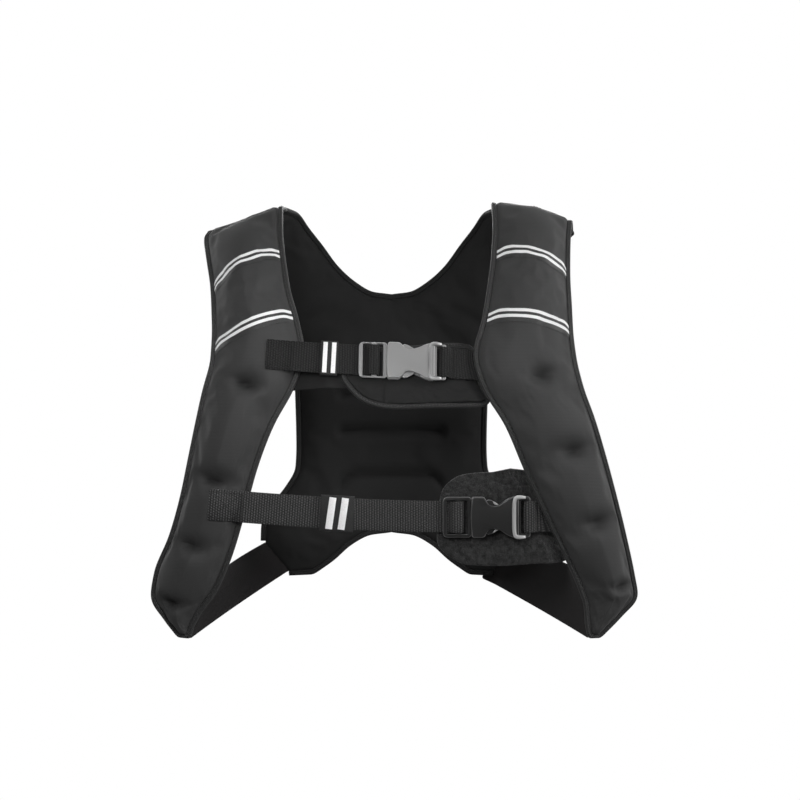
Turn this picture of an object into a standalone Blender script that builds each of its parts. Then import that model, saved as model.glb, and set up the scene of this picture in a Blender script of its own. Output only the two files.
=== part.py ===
"""Weighted vest: two filled front panels, a filled back, webbing straps and two side-release buckles.

Units are metres. The vest faces -Y, +X is the viewer's right and +Z is up. The origin lies midway
between the two shoulder crests, where the vest rests on the shoulders.
"""
import math
from collections import namedtuple

import bmesh
import bpy
from mathutils import Matrix, Vector
from mathutils.bvhtree import BVHTree

# Whole vest
vest_width = 0.504
vest_height = 0.450
front_reach = 0.116
back_reach = 0.112
front_wrap = 0.050
back_wrap = 0.050

# Filled panels
front_fill = 0.024
back_fill = 0.018
front_roll = 0.040
back_roll = 0.026
front_crown = 0.004
front_rise = 0.75
rim_thickness = 0.004
dent_depth = 0.007
dent_length = 0.013
dent_height = 0.009
channel_depth = 0.70
channel_length = 0.120
channel_level = 0.036
channel_drop = 0.018
channel_height = 0.007

# Edge binding
binding_width = 0.0046
binding_thickness = 0.0050

# Straps and tapes
webbing_width = 0.032
webbing_thickness = 0.0015
side_strap_thickness = 0.0020
side_strap_bow = 0.10
side_strap_sag = 0.04
strap_tip_reach = 0.0075
tape_width = 0.015
tape_thickness = 0.0007
tab_thickness = 0.0025
tab_length = 0.060
waist_sag = 0.0045
chest_sag = 0.0020
chest_sewn_length = 0.013
waist_sewn_length = 0.021
folded_length = 0.010
sewn_blend = 0.015
span_end = 0.004

# Keepers and their reflective bands
keeper_wall = 0.0008
keeper_side_room = 0.0012
keeper_corner = 0.0010
chest_keeper_length = 0.017
waist_keeper_length = 0.034
chest_band_width = 0.0044
waist_band_width = 0.0070
chest_band_pitch = 0.0087
waist_band_pitch = 0.0125
waist_band_lean = math.radians(5.0)
band_thickness = 0.0005

# Buckles
buckle_length = 0.088
chest_buckle_height = 0.037
waist_buckle_height = 0.041
plug_thickness = 0.0030
socket_thickness = 0.0100
loop_thickness = 0.0032
slot_side_room = 0.0008

# Pads
pad_thickness = 0.0040
chest_pad_length = 0.153
chest_pad_height = 0.074
waist_pad_length = 0.132
waist_pad_height = 0.096
pad_binding_width = 0.0050
pad_edge_round = 0.0012
fold_reach = 0.014

# Room between pieces
clearance = 0.0003
cloth_clearance = 0.0005
panel_bulge = 0.0006
seam_gap = 0.0006
seam_allowance = 0.003

# Mesh density
rows_per_section = 2
front_columns = 10
back_columns = 6

half_width = vest_width / 2
SIDES = {"left": -1, "right": 1}

# Front panels: each row is one section from the outer to the inner finished edge.
# Widths are shares of half_width from the middle, downs are shares of vest_height below the origin.
Section = namedtuple("Section", "outer outer_down inner inner_down")
FRONT_SECTIONS = {
    "left": (
        Section(0.754, 0.067, 0.425, 0.013),
        Section(0.766, 0.086, 0.440, 0.010),
        Section(0.746, 0.140, 0.435, 0.071),
        Section(0.726, 0.200, 0.419, 0.138),
        Section(0.718, 0.256, 0.397, 0.207),
        Section(0.714, 0.307, 0.361, 0.276),
        Section(0.718, 0.362, 0.337, 0.351),
        Section(0.750, 0.436, 0.375, 0.420),
        Section(0.776, 0.502, 0.458, 0.507),
        Section(0.808, 0.587, 0.524, 0.604),
        Section(0.841, 0.673, 0.571, 0.698),
        Section(0.887, 0.760, 0.625, 0.798),
        Section(0.948, 0.840, 0.688, 0.880),
        Section(0.963, 0.893, 0.748, 0.926),
        Section(0.914, 0.938, 0.786, 0.966),
        Section(0.850, 0.983, 0.800, 0.994),
    ),
    "right": (
        Section(0.754, 0.067, 0.425, 0.013),
        Section(0.748, 0.045, 0.413, 0.003),
        Section(0.734, 0.102, 0.417, 0.056),
        Section(0.730, 0.178, 0.409, 0.133),
        Section(0.734, 0.240, 0.391, 0.204),
        Section(0.738, 0.300, 0.369, 0.276),
        Section(0.750, 0.360, 0.335, 0.353),
        Section(0.778, 0.427, 0.369, 0.422),
        Section(0.821, 0.493, 0.460, 0.507),
        Section(0.865, 0.573, 0.532, 0.602),
        Section(0.911, 0.667, 0.611, 0.700),
        Section(0.952, 0.758, 0.692, 0.796),
        Section(0.988, 0.849, 0.758, 0.878),
        Section(1.000, 0.891, 0.780, 0.918),
        Section(0.941, 0.931, 0.786, 0.958),
        Section(0.846, 0.982, 0.798, 0.994),
    ),
}

# How each front section lies: fore is a share of front_reach towards -Y, wrap a share of
# front_wrap and full a share of front_fill.
Lie = namedtuple("Lie", "fore wrap full")
FRONT_LIE = (
    Lie(-0.16, 0.35, 0.18),
    Lie(0.00, 0.40, 0.25),
    Lie(0.33, 0.50, 0.70),
    Lie(0.53, 0.60, 0.92),
    Lie(0.68, 0.70, 1.00),
    Lie(0.79, 0.78, 1.00),
    Lie(0.88, 0.85, 1.00),
    Lie(0.95, 0.90, 1.00),
    Lie(0.99, 0.95, 1.00),
    Lie(1.00, 1.00, 1.00),
    Lie(0.99, 1.00, 1.00),
    Lie(0.96, 1.00, 1.00),
    Lie(0.92, 1.00, 0.95),
    Lie(0.90, 1.00, 0.85),
    Lie(0.88, 1.00, 0.65),
    Lie(0.87, 1.00, 0.40),
)

# Dents in the front panels: section is a place in the table above, across a share of its width.
# The second size is a share of dent_length and of dent_height.
Dent = namedtuple("Dent", "section across size")
FRONT_DENTS = {
    "left": (Dent(6.9, 0.48, 1.2), Dent(9.4, 0.46, 1.2), Dent(11.0, 0.42, 1.0), Dent(13.0, 0.45, 1.0)),
    "right": (Dent(6.7, 0.40, 1.0), Dent(8.8, 0.40, 1.2), Dent(10.5, 0.42, 1.1), Dent(12.2, 0.36, 0.7)),
}

# Back panel, right half: each row is one section from the outer edge to the neck edge, the middle
# line or the hem. aft is a share of back_reach towards +Y, full a share of back_fill.
BackSection = namedtuple("BackSection", "outer outer_down inner inner_down aft full")
BACK_SECTIONS = (
    BackSection(0.754, 0.067, 0.425, 0.013, 0.17, 0.25),
    BackSection(0.702, 0.093, 0.402, 0.024, 0.52, 0.45),
    BackSection(0.631, 0.138, 0.357, 0.058, 0.68, 0.75),
    BackSection(0.567, 0.187, 0.302, 0.097, 0.79, 0.95),
    BackSection(0.512, 0.231, 0.240, 0.144, 0.86, 1.00),
    BackSection(0.461, 0.271, 0.168, 0.181, 0.91, 1.00),
    BackSection(0.427, 0.307, 0.084, 0.208, 0.95, 1.00),
    BackSection(0.404, 0.340, 0.000, 0.216, 0.98, 1.00),
    BackSection(0.393, 0.373, 0.000, 0.270, 1.00, 1.00),
    BackSection(0.389, 0.409, 0.000, 0.327, 1.00, 1.00),
    BackSection(0.387, 0.444, 0.000, 0.384, 1.00, 1.00),
    BackSection(0.385, 0.480, 0.000, 0.442, 1.00, 1.00),
    BackSection(0.383, 0.520, 0.000, 0.498, 1.00, 1.00),
    BackSection(0.382, 0.564, 0.000, 0.556, 1.00, 1.00),
    BackSection(0.386, 0.614, 0.000, 0.610, 0.99, 1.00),
    BackSection(0.436, 0.668, 0.000, 0.662, 0.98, 1.00),
    BackSection(0.510, 0.718, 0.000, 0.714, 0.96, 1.00),
    BackSection(0.529, 0.755, 0.000, 0.753, 0.95, 1.00),
    BackSection(0.530, 0.785, 0.095, 0.762, 0.94, 0.95),
    BackSection(0.504, 0.809, 0.183, 0.788, 0.93, 0.85),
    BackSection(0.467, 0.833, 0.254, 0.823, 0.92, 0.70),
    BackSection(0.432, 0.856, 0.333, 0.854, 0.91, 0.50),
)
NECK_LOW = 7
HEM_TOP = 17
STRAP_TOP = 18


def row_of(section):
    """The line of the back's points at a section of its table, after the seam's two lines."""
    return section * rows_per_section + 1


NECK_END = row_of(NECK_LOW)
HEM_START = row_of(HEM_TOP)

# Sewn channels across the back: down is a share of vest_height below the origin. Past channel_level
# from the middle, a channel turns down by bend times channel_drop.
Channel = namedtuple("Channel", "down bend")
CHANNELS = (Channel(0.440, 0.0), Channel(0.529, 0.0), Channel(0.629, 1.0))

# Reflective tapes: places in the section table at the tape's outer and inner end
Tape = namedtuple("Tape", "side level outer_section inner_section")
TAPES = (
    Tape("left", "upper", 3.07, 2.72),
    Tape("left", "lower", 5.53, 4.77),
    Tape("right", "upper", 2.84, 2.84),
    Tape("right", "lower", 4.95, 4.86),
)

# Where the straps leave the panels: a place in the section table and a share across it
Anchor = namedtuple("Anchor", "left_section left_across right_section buckle_share keeper_share")
CHEST = Anchor(6.14, 0.80, 6.25, 0.626, 0.255)
WAIST = Anchor(9.95, 0.85, 10.15, 0.810, 0.339)

# Where the side straps meet the front panels' inner edges, and the tab meets the left one
SIDE_STRAP_SECTIONS = (11.3, 14.8)

# How far below the wing's foot each side strap's rear corner hangs, as a share of vest_height
STRAP_HANG = {"left": 0.0, "right": 0.031}
TAB_SECTIONS = (5.7, 7.15)

# Pad outlines seen from the front, from the pad's upper left corner round to its lower left.
# along is a share of the pad's length from its left end, up a share of its height from its foot.
PadPoint = namedtuple("PadPoint", "along up")
CHEST_PAD = (
    PadPoint(0.092, 0.838),
    PadPoint(0.480, 0.905),
    PadPoint(0.876, 1.000),
    PadPoint(0.905, 0.640),
    PadPoint(0.965, 0.360),
    PadPoint(1.000, 0.215),
    PadPoint(0.955, 0.090),
    PadPoint(0.820, 0.052),
    PadPoint(0.608, 0.034),
    PadPoint(0.399, 0.000),
    PadPoint(0.248, 0.014),
    PadPoint(0.131, 0.108),
    PadPoint(0.052, 0.270),
    PadPoint(0.000, 0.432),
    PadPoint(0.020, 0.660),
)
WAIST_PAD = (
    PadPoint(0.030, 0.760),
    PadPoint(0.075, 0.865),
    PadPoint(0.159, 0.948),
    PadPoint(0.265, 0.979),
    PadPoint(0.425, 0.990),
    PadPoint(0.700, 1.000),
    PadPoint(0.900, 0.500),
    PadPoint(1.000, 0.120),
    PadPoint(0.960, 0.030),
    PadPoint(0.780, 0.026),
    PadPoint(0.507, 0.000),
    PadPoint(0.273, 0.010),
    PadPoint(0.197, 0.021),
    PadPoint(0.114, 0.083),
    PadPoint(0.038, 0.167),
    PadPoint(0.000, 0.260),
    PadPoint(0.000, 0.500),
)
chest_pad_shift = Vector((0.0145, 0.0, -0.0115))
waist_pad_shift = Vector((0.0165, 0.0, -0.0020))


# Scene and materials

for old in list(bpy.data.objects):
    bpy.data.objects.remove(old, do_unlink=True)

vest = bpy.data.collections.new("weighted_vest")
cutters = bpy.data.collections.new("cutters")
bpy.context.scene.collection.children.link(vest)
bpy.context.scene.collection.children.link(cutters)


def material(name, colour, roughness, metallic=0.0):
    made = bpy.data.materials.new(name)
    made.use_nodes = True
    shader = made.node_tree.nodes["Principled BSDF"]
    shader.inputs["Base Color"].default_value = (*colour, 1.0)
    shader.inputs["Roughness"].default_value = roughness
    shader.inputs["Metallic"].default_value = metallic
    return made


NEOPRENE = ("neoprene", (0.045, 0.045, 0.046), 0.70)
LINING = ("lining", (0.014, 0.014, 0.015), 0.85)
BINDING = ("binding", (0.060, 0.060, 0.062), 0.60)
WEBBING = ("webbing", (0.035, 0.035, 0.037), 0.75)
ELASTIC = ("elastic", (0.010, 0.009, 0.009), 0.85)
TAPE = ("tape", (0.160, 0.160, 0.165), 0.50)
REFLECTIVE = ("reflective", (0.750, 0.750, 0.760), 0.35)
LOOP_PILE = ("loop_pile", (0.020, 0.020, 0.021), 0.95)
PLASTIC = ("plastic", (0.030, 0.030, 0.032), 0.35)


# Shape helpers

def eased(values, place):
    """The value at a fractional place in a list, on a smooth curve that never overshoots an entry."""
    last = len(values) - 1
    start = min(max(int(place), 0), last - 1)
    part = place - start
    steps = [values[i + 1] - values[i] for i in range(last)]

    def slope(i):
        if i == 0:
            return steps[0]
        if i == last:
            return steps[-1]
        before, after = steps[i - 1], steps[i]
        if before * after <= 0.0:
            return 0.0
        return 2.0 * before * after / (before + after)

    square, cube = part ** 2, part ** 3
    return (
        values[start] * (2.0 * cube - 3.0 * square + 1.0)
        + slope(start) * (cube - 2.0 * square + part)
        + values[start + 1] * (3.0 * square - 2.0 * cube)
        + slope(start + 1) * (cube - square)
    )


def soft_step(value):
    """0 below 0, 1 above 1 and a smooth rise between."""
    held = min(max(value, 0.0), 1.0)
    return held * held * (3.0 - 2.0 * held)


def segment_distance(point, start, end):
    """Distance from a point to a straight stretch between two others."""
    along = end - start
    share = (point - start).dot(along) / max(along.length_squared, 1e-12)
    return (point - start - along * min(max(share, 0.0), 1.0)).length


def frange(start, end, steps):
    return [start + (end - start) * i / steps for i in range(steps + 1)]


def add_object(name, mesh, look):
    obj = bpy.data.objects.new(name, mesh)
    mesh.materials.append(bpy.data.materials.get(look[0]) or material(*look))
    vest.objects.link(obj)
    return obj


def shade_round(mesh, angle=40.0):
    mesh.shade_smooth()
    mesh.set_sharp_from_angle(angle=math.radians(angle))


def skin(name, rings, look):
    """A closed solid lofted through rings of points. A ring runs along one face and back along the
    other, so each end is closed by quads between its facing points."""
    body = bmesh.new()
    loops = [[body.verts.new(point) for point in ring] for ring in rings]
    count = len(loops[0])
    for near, far in zip(loops, loops[1:]):
        for i in range(count):
            j = (i + 1) % count
            body.faces.new((near[i], near[j], far[j], far[i]))
    for end in (loops[0], loops[-1]):
        for i in range(count // 2 - 1):
            body.faces.new((end[i], end[i + 1], end[count - 2 - i], end[count - 1 - i]))
    bmesh.ops.recalc_face_normals(body, faces=body.faces)
    mesh = bpy.data.meshes.new(name)
    body.to_mesh(mesh)
    body.free()
    shade_round(mesh)
    return add_object(name, mesh, look)


def cloth(name, grid, thickness, look):
    """An open surface through a grid of points, with its thickness from Solidify."""
    body = bmesh.new()
    rows = [[body.verts.new(point) for point in row] for row in grid]
    for near, far in zip(rows, rows[1:]):
        for i in range(len(near) - 1):
            body.faces.new((near[i], near[i + 1], far[i + 1], far[i]))
    mesh = bpy.data.meshes.new(name)
    body.to_mesh(mesh)
    body.free()
    shade_round(mesh)
    obj = add_object(name, mesh, look)
    wall = obj.modifiers.new("wall", "SOLIDIFY")
    wall.thickness = thickness
    wall.offset = 0.0
    wall.use_even_offset = True
    return obj


def plate(name, outlines, thickness, look, frame, depth=0.0):
    """A flat piece from closed outlines in x and z, centred at a depth in y; inner outlines are holes."""
    curve = bpy.data.curves.new(name, "CURVE")
    curve.dimensions = "2D"
    curve.fill_mode = "BOTH"
    curve.extrude = thickness / 2
    for outline in outlines:
        spline = curve.splines.new("POLY")
        spline.points.add(len(outline) - 1)
        for point, (x, z) in zip(spline.points, outline):
            point.co = (x, z, 0.0, 1.0)
        spline.use_cyclic_u = True
    holder = bpy.data.objects.new(name + "_outline", curve)
    vest.objects.link(holder)
    bpy.context.view_layer.update()
    seen = holder.evaluated_get(bpy.context.evaluated_depsgraph_get())
    mesh = bpy.data.meshes.new_from_object(seen)
    bpy.data.objects.remove(holder, do_unlink=True)
    mesh.name = name
    mesh.materials.clear()
    body = bmesh.new()
    body.from_mesh(mesh)
    bmesh.ops.remove_doubles(body, verts=body.verts, dist=1e-5)
    upright = Matrix.Rotation(math.pi / 2, 4, "X")
    bmesh.ops.transform(body, matrix=Matrix.Translation((0.0, depth, 0.0)) @ upright, verts=body.verts)
    bmesh.ops.recalc_face_normals(body, faces=body.faces)
    body.to_mesh(mesh)
    body.free()
    obj = add_object(name, mesh, look)
    obj.matrix_world = frame
    return obj


def block(name, low, high, frame, collection):
    """A box from one corner to the other."""
    body = bmesh.new()
    bmesh.ops.create_cube(body, size=1.0)
    low, high = Vector(low), Vector(high)
    for vert in body.verts:
        vert.co = Vector(low[i] + (high[i] - low[i]) * (vert.co[i] + 0.5) for i in range(3))
    mesh = bpy.data.meshes.new(name)
    body.to_mesh(mesh)
    body.free()
    obj = bpy.data.objects.new(name, mesh)
    collection.objects.link(obj)
    obj.matrix_world = frame
    return obj


def combine(obj, tool, operation):
    """Cut or join an object with a hidden tool."""
    tool.hide_render = True
    tool.display_type = "WIRE"
    step = obj.modifiers.new(tool.name, "BOOLEAN")
    step.operation = operation
    step.object = tool
    step.solver = "EXACT"


def rounded(corners, radius, steps=3):
    """A closed outline with each corner of a polygon rounded."""
    outline = []
    count = len(corners)
    for i, corner in enumerate(corners):
        here = Vector(corner)
        back = Vector(corners[i - 1]) - here
        ahead = Vector(corners[(i + 1) % count]) - here
        reach = min(radius, back.length * 0.45, ahead.length * 0.45)
        start = here + back.normalized() * reach
        end = here + ahead.normalized() * reach
        for part in frange(0.0, 1.0, steps):
            bend = start * (1 - part) ** 2 + here * 2 * part * (1 - part) + end * part ** 2
            outline.append(tuple(bend))
    return outline


def both_halves(upper):
    """A closed outline from its upper half, mirrored in z."""
    return list(upper) + [(x, -z) for x, z in reversed(upper) if z > 0.0]


def smooth_outline(points, steps):
    """A closed Catmull-Rom curve through a few points."""
    outline = []
    count = len(points)
    for i in range(count):
        before, here, after, beyond = (Vector(points[(i + k) % count]) for k in (-1, 0, 1, 2))
        for step in range(steps):
            part = step / steps
            square, cube = part ** 2, part ** 3
            outline.append(tuple(0.5 * (
                here * 2.0
                + (after - before) * part
                + (before * 2.0 - here * 5.0 + after * 4.0 - beyond) * square
                + (here * 3.0 - before - after * 3.0 + beyond) * cube
            )))
    return outline


def inset(outline, distance):
    """A closed outline moved inwards by a distance."""
    count = len(outline)
    area = sum(
        outline[i][0] * outline[(i + 1) % count][1] - outline[(i + 1) % count][0] * outline[i][1]
        for i in range(count)
    )
    turn = 1.0 if area > 0.0 else -1.0
    moved = []
    for i in range(count):
        here = Vector(outline[i])
        back = (here - Vector(outline[i - 1])).normalized()
        ahead = (Vector(outline[(i + 1) % count]) - here).normalized()
        inwards = (Vector((-back.y, back.x)) + Vector((-ahead.y, ahead.x))) * turn
        inwards.normalize()
        lean = max(inwards.dot(Vector((-back.y, back.x)) * turn), 0.5)
        moved.append(tuple(here + inwards * distance / lean))
    return moved


# Panel surfaces

class Panel:
    """A surface between an outer and an inner edge, each a smooth curve through its section ends, with
    a filling that thins towards the sewn edges. A bow rounds it between the edges."""

    def __init__(self, outer, inner, full, facing, bow=0.0):
        self.outer = outer
        self.inner = inner
        self.full = full
        self.facing = facing
        self.bow = bow
        self.last = len(outer) - 1
        self.borders = []

    def end(self, points, row):
        return Vector(eased([point[axis] for point in points], row) for axis in range(3))

    def point(self, row, across):
        """A point of the surface: across is 0 on the outer edge and 1 on the inner one."""
        outer, inner = self.end(self.outer, row), self.end(self.inner, row)
        bulge = self.bow * ((outer.x - inner.x) / half_width) ** 2 * across * (1.0 - across)
        return outer.lerp(inner, across) + Vector((0.0, bulge * soft_step(row), 0.0))

    def along(self, row, across):
        """The step of one section down the panel."""
        step = 0.25
        low, high = max(row - step, 0.0), min(row + step, self.last)
        return (self.point(high, across) - self.point(low, across)) / (high - low)

    def normal(self, row, across):
        """Square to the surface, and at the shoulder seam square to the seam's level too."""
        rib = self.point(row, 1.0) - self.point(row, 0.0)
        along = self.along(row, across)
        level = Vector((0.0, math.copysign(along.length, along.y), 0.0))
        return (rib.cross(level.lerp(along, min(2.0 * row, 1.0))) * self.facing).normalized()

    def border_distance(self, point):
        return min(
            segment_distance(point, start, end)
            for border in self.borders
            for start, end in zip(border, border[1:])
        )


def front_ends(side, row):
    """The finished outer and inner edge of a front panel at a section of its table."""
    section = FRONT_SECTIONS[side][row]
    lie = FRONT_LIE[row]
    ends = []
    for across, down in ((section.outer, section.outer_down), (section.inner, section.inner_down)):
        bend = lie.wrap * front_wrap * across ** 2
        ends.append(Vector((SIDES[side] * across * half_width, bend - lie.fore * front_reach, -down * vest_height)))
    return ends


edge_inset = binding_width + clearance


def front_panel_surface(side):
    """The fabric between the bindings of a front panel."""
    outer, inner = [], []
    for row in range(len(FRONT_LIE)):
        finished = front_ends(side, row)
        rib = (finished[1] - finished[0]).normalized()
        outer.append(finished[0] + rib * edge_inset)
        inner.append(finished[1] - rib * edge_inset)
    for edge in (outer, inner):
        lift = (edge[-2] - edge[-1]).normalized()
        edge[-1] += lift * edge_inset
    surface = Panel(outer, inner, [lie.full for lie in FRONT_LIE], SIDES[side])
    rows = frange(0, surface.last, surface.last * rows_per_section)
    outer_edge = [surface.point(row, 0.0) for row in rows]
    inner_edge = [surface.point(row, 1.0) for row in rows]
    surface.borders = [outer_edge + inner_edge[::-1]]
    return surface


def front_middle(surface, row, across):
    crown = front_crown * soft_step(row / 2.0) * (1.0 - (2.0 * across - 1.0) ** 2)
    return surface.point(row, across) + surface.normal(row, across) * crown


def front_thickness(surface, row, across):
    place = surface.point(row, across)
    roll = min(surface.border_distance(place) / front_roll, 1.0)
    full = max(front_fill * eased(surface.full, row) - rim_thickness, 0.0)
    return rim_thickness + full * (1.0 - (1.0 - roll) ** 2)


def dent_at(surface, side, row, across):
    """How far the dents press the outer face in at a place."""
    place = surface.point(row, across)
    deep = 0.0
    for dent in FRONT_DENTS[side]:
        centre = surface.point(dent.section, dent.across)
        rib = (surface.point(dent.section, 1.0) - surface.point(dent.section, 0.0)).normalized()
        offset = place - centre
        sideways = offset.dot(rib)
        lengthwise = (offset - rib * sideways).length
        spread = (sideways / (dent_length * dent.size)) ** 2 + (lengthwise / (dent_height * dent.size)) ** 2
        deep += dent_depth * dent.size * math.exp(-spread)
    return deep


def front_face(surface, side, row, across, lift=0.0):
    """A point on the outer face of a front panel, or lifted off it."""
    thick = front_thickness(surface, row, across) * front_rise - dent_at(surface, side, row, across)
    return front_middle(surface, row, across) + surface.normal(row, across) * (thick + lift)


def front_lining(surface, side, row, across):
    thick = front_thickness(surface, row, across) * (1.0 - front_rise)
    return front_middle(surface, row, across) - surface.normal(row, across) * thick


def front_panel(side, surface):
    rings = []
    columns = frange(0.0, 1.0, front_columns)
    for row in frange(0, surface.last, surface.last * rows_per_section):
        faces = [front_face(surface, side, row, across) for across in columns]
        backs = [front_lining(surface, side, row, across) for across in reversed(columns)]
        rings.append(faces + backs)
    return skin("front_panel_" + side, rings, NEOPRENE)


def binding(name, path):
    """Binding tape just outside a fabric edge. Each entry of the path has a point on the edge, a
    point further inside the fabric and the fabric's normal."""
    last = len(path) - 1
    stations = []
    facing = 0.0
    for i, (edge, inside, normal) in enumerate(path):
        before = edge - path[i - 1][0] if i > 0 else path[1][0] - edge
        after = path[i + 1][0] - edge if i < last else before
        before.normalize()
        after.normalize()
        outwards = (before + after).cross(normal)
        # Both ends of an edge that meets the shoulder seam are cut level with it
        if i in (0, last):
            outwards.y = 0.0
        outwards.normalize()
        facing += outwards.dot((edge - inside).normalized())
        mitre = 1.0 / max(math.sqrt((1.0 + before.dot(after)) / 2.0), 0.6)
        stations.append((edge, outwards * mitre, normal * binding_thickness / 2))
    rings = []
    for edge, outwards, lift in stations:
        outwards *= math.copysign(1.0, facing)
        near = edge + outwards * clearance
        far = edge + outwards * (clearance + binding_width)
        rings.append([near + lift, far + lift, far - lift, near - lift])
    return skin(name, rings, BINDING)


def front_binding(side, surface):
    rows = frange(0, surface.last, surface.last * rows_per_section)
    inside = 0.25
    path = [(surface.point(r, 0.0), surface.point(r, inside), surface.normal(r, 0.0)) for r in rows[:-1]]
    last = surface.last
    for across in frange(0.0, 1.0, 2):
        leaning = 0.5 + (across - 0.5) * inside
        path.append((surface.point(last, across), surface.point(last - inside, leaning), surface.normal(last, across)))
    path += [
        (surface.point(r, 1.0), surface.point(r, 1.0 - inside), surface.normal(r, 1.0))
        for r in reversed(rows[:-1])
    ]
    return binding("front_binding_" + side, path)


# Back panel

def back_panel_surface():
    """The right half of the back, from the shoulder seam to the lower wing."""
    outer, inner = [], []
    for row, section in enumerate(BACK_SECTIONS):
        for edge, across, down in (
            (outer, section.outer, section.outer_down),
            (inner, section.inner, section.inner_down),
        ):
            depth = section.aft * back_reach - back_wrap * across ** 2
            edge.append(Vector((across * half_width, depth, -down * vest_height)))
    seam = FRONT_SURFACES["right"]
    for edge, across in ((outer, 0.0), (inner, 1.0)):
        edge[0] = seam.point(0, across) + Vector((0.0, seam_gap, 0.0))
    surface = Panel(outer, inner, [section.full for section in BACK_SECTIONS], -1, back_wrap)
    surface.borders = [
        [surface.point(row, 0.0) for row in frange(0, surface.last, surface.last)],
        [surface.point(row, 1.0) for row in frange(0, NECK_LOW, NECK_LOW)],
        [surface.point(row, 1.0) for row in frange(HEM_TOP, surface.last, surface.last - HEM_TOP)],
    ]
    surface.borders.append([surface.borders[0][-1], surface.borders[2][-1]])
    return surface


def back_fullness(surface, row, across):
    """The share of back_fill at a place, less over the sewn channels."""
    place = surface.point(row, across)
    roll = min(surface.border_distance(place) / back_roll, 1.0)
    rim = rim_thickness / back_fill
    share = rim + (eased(surface.full, row) - rim) * (1.0 - (1.0 - roll) ** 2)
    for channel in CHANNELS:
        turned = max(abs(place.x) - channel_level, 0.0) / (channel_length / 2 - channel_level)
        line = -channel.down * vest_height - channel.bend * channel_drop * turned ** 2
        apart = (place.z - line) / channel_height
        reach = soft_step((channel_length / 2 - abs(place.x)) / channel_height)
        share -= (share - rim) * channel_depth * reach * math.exp(-apart ** 2)
    return max(share, rim)


Place = namedtuple("Place", "point normal thickness")


def back_sheet(surface):
    """Rows of places on the back's right half: its middle surface, the direction square to it and the
    filling's thickness. A second, level row by the seam squares the panel's end to it."""
    level_step = Vector((0.0, seam_allowance, 0.0))
    rows = frange(0, surface.last, surface.last * rows_per_section)
    lines = [(0, Vector()), (0, level_step)] + [(row, Vector()) for row in rows[1:]]
    columns = frange(0.0, 1.0, back_columns)
    middle = bmesh.new()
    grid = []
    for row, step in lines:
        grid.append([])
        for across in columns:
            point = surface.point(row, across) + step
            point.x = max(point.x, 0.0)
            grid[-1].append(middle.verts.new(point))
    for near, far in zip(grid, grid[1:]):
        for i in range(back_columns):
            middle.faces.new((near[i], near[i + 1], far[i + 1], far[i]))
    middle.normal_update()
    sheet = []
    for (row, step), line in zip(lines, grid):
        places = []
        for across, vert in zip(columns, line):
            # Faces by the hem are too narrow to give a direction, so it comes from the wing's middle
            by_hem = row >= HEM_TOP and across == 1.0
            normal = (line[back_columns // 2] if by_hem else vert).normal.copy()
            if row == 0:
                square = surface.normal(0, across)
                normal = square * math.copysign(1.0, square.dot(normal))
            if vert.co.x == 0.0:
                normal.x = 0.0
            thickness = back_fill * back_fullness(surface, row, across)
            places.append(Place(vert.co.copy(), normal.normalized(), thickness))
        sheet.append(places)
    middle.free()
    return sheet


def back_panel(sheet):
    body = bmesh.new()
    faces = []
    for side in (1.0, -1.0):
        faces.append([
            [body.verts.new(place.point + place.normal * place.thickness / 2 * side) for place in places]
            for places in sheet
        ])
    for layer in faces:
        for near, far in zip(layer, layer[1:]):
            for i in range(back_columns):
                body.faces.new((near[i], near[i + 1], far[i + 1], far[i]))
    last = len(sheet) - 1
    rim = [(row, back_columns) for row in range(NECK_END + 1)]
    rim = [(0, column) for column in range(back_columns)] + rim
    hem = [(row, back_columns) for row in range(HEM_START, last + 1)]
    hem += [(last, column) for column in reversed(range(back_columns))]
    hem += [(row, 0) for row in reversed(range(last))]
    for border in (rim, hem):
        for (row, column), (next_row, next_column) in zip(border, border[1:]):
            near = [layer[row][column] for layer in faces]
            far = [layer[next_row][next_column] for layer in faces]
            body.faces.new((near[0], far[0], far[1], near[1]))
    bmesh.ops.recalc_face_normals(body, faces=body.faces)
    mesh = bpy.data.meshes.new("back_panel")
    body.to_mesh(mesh)
    body.free()
    shade_round(mesh, 60.0)
    obj = add_object("back_panel", mesh, LINING)
    mirror = obj.modifiers.new("other_half", "MIRROR")
    mirror.merge_threshold = 0.0001
    return obj


def flipped(path):
    """The same path on the left half."""
    swap = Vector((-1.0, 1.0, 1.0))
    return [tuple(entry * swap for entry in entries) for entries in path]


def back_bindings(sheet):
    last = len(sheet) - 1
    neck = [(sheet[i][-1], sheet[i][-2].point) for i in range(NECK_END + 1)]
    armhole = [(sheet[i][0], sheet[i][1].point) for i in range(row_of(STRAP_TOP) + 1)]
    hem = [(sheet[i][-1], sheet[i - 1][-2].point) for i in range(HEM_START, last + 1)]
    hem += [(sheet[last][i], sheet[last - 1][i].point) for i in (back_columns // 2, 0)]
    paths = [[(place.point, inside, place.normal) for place, inside in path] for path in (neck, armhole, hem)]
    neck, armhole, hem = paths
    binding("neck_binding", flipped(neck[:-1]) + neck[::-1])
    binding("side_binding_right", armhole)
    binding("side_binding_left", flipped(armhole))
    binding("hem_binding", flipped(hem[1:])[::-1] + hem)


# Straps sewn to the panels' edges

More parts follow.
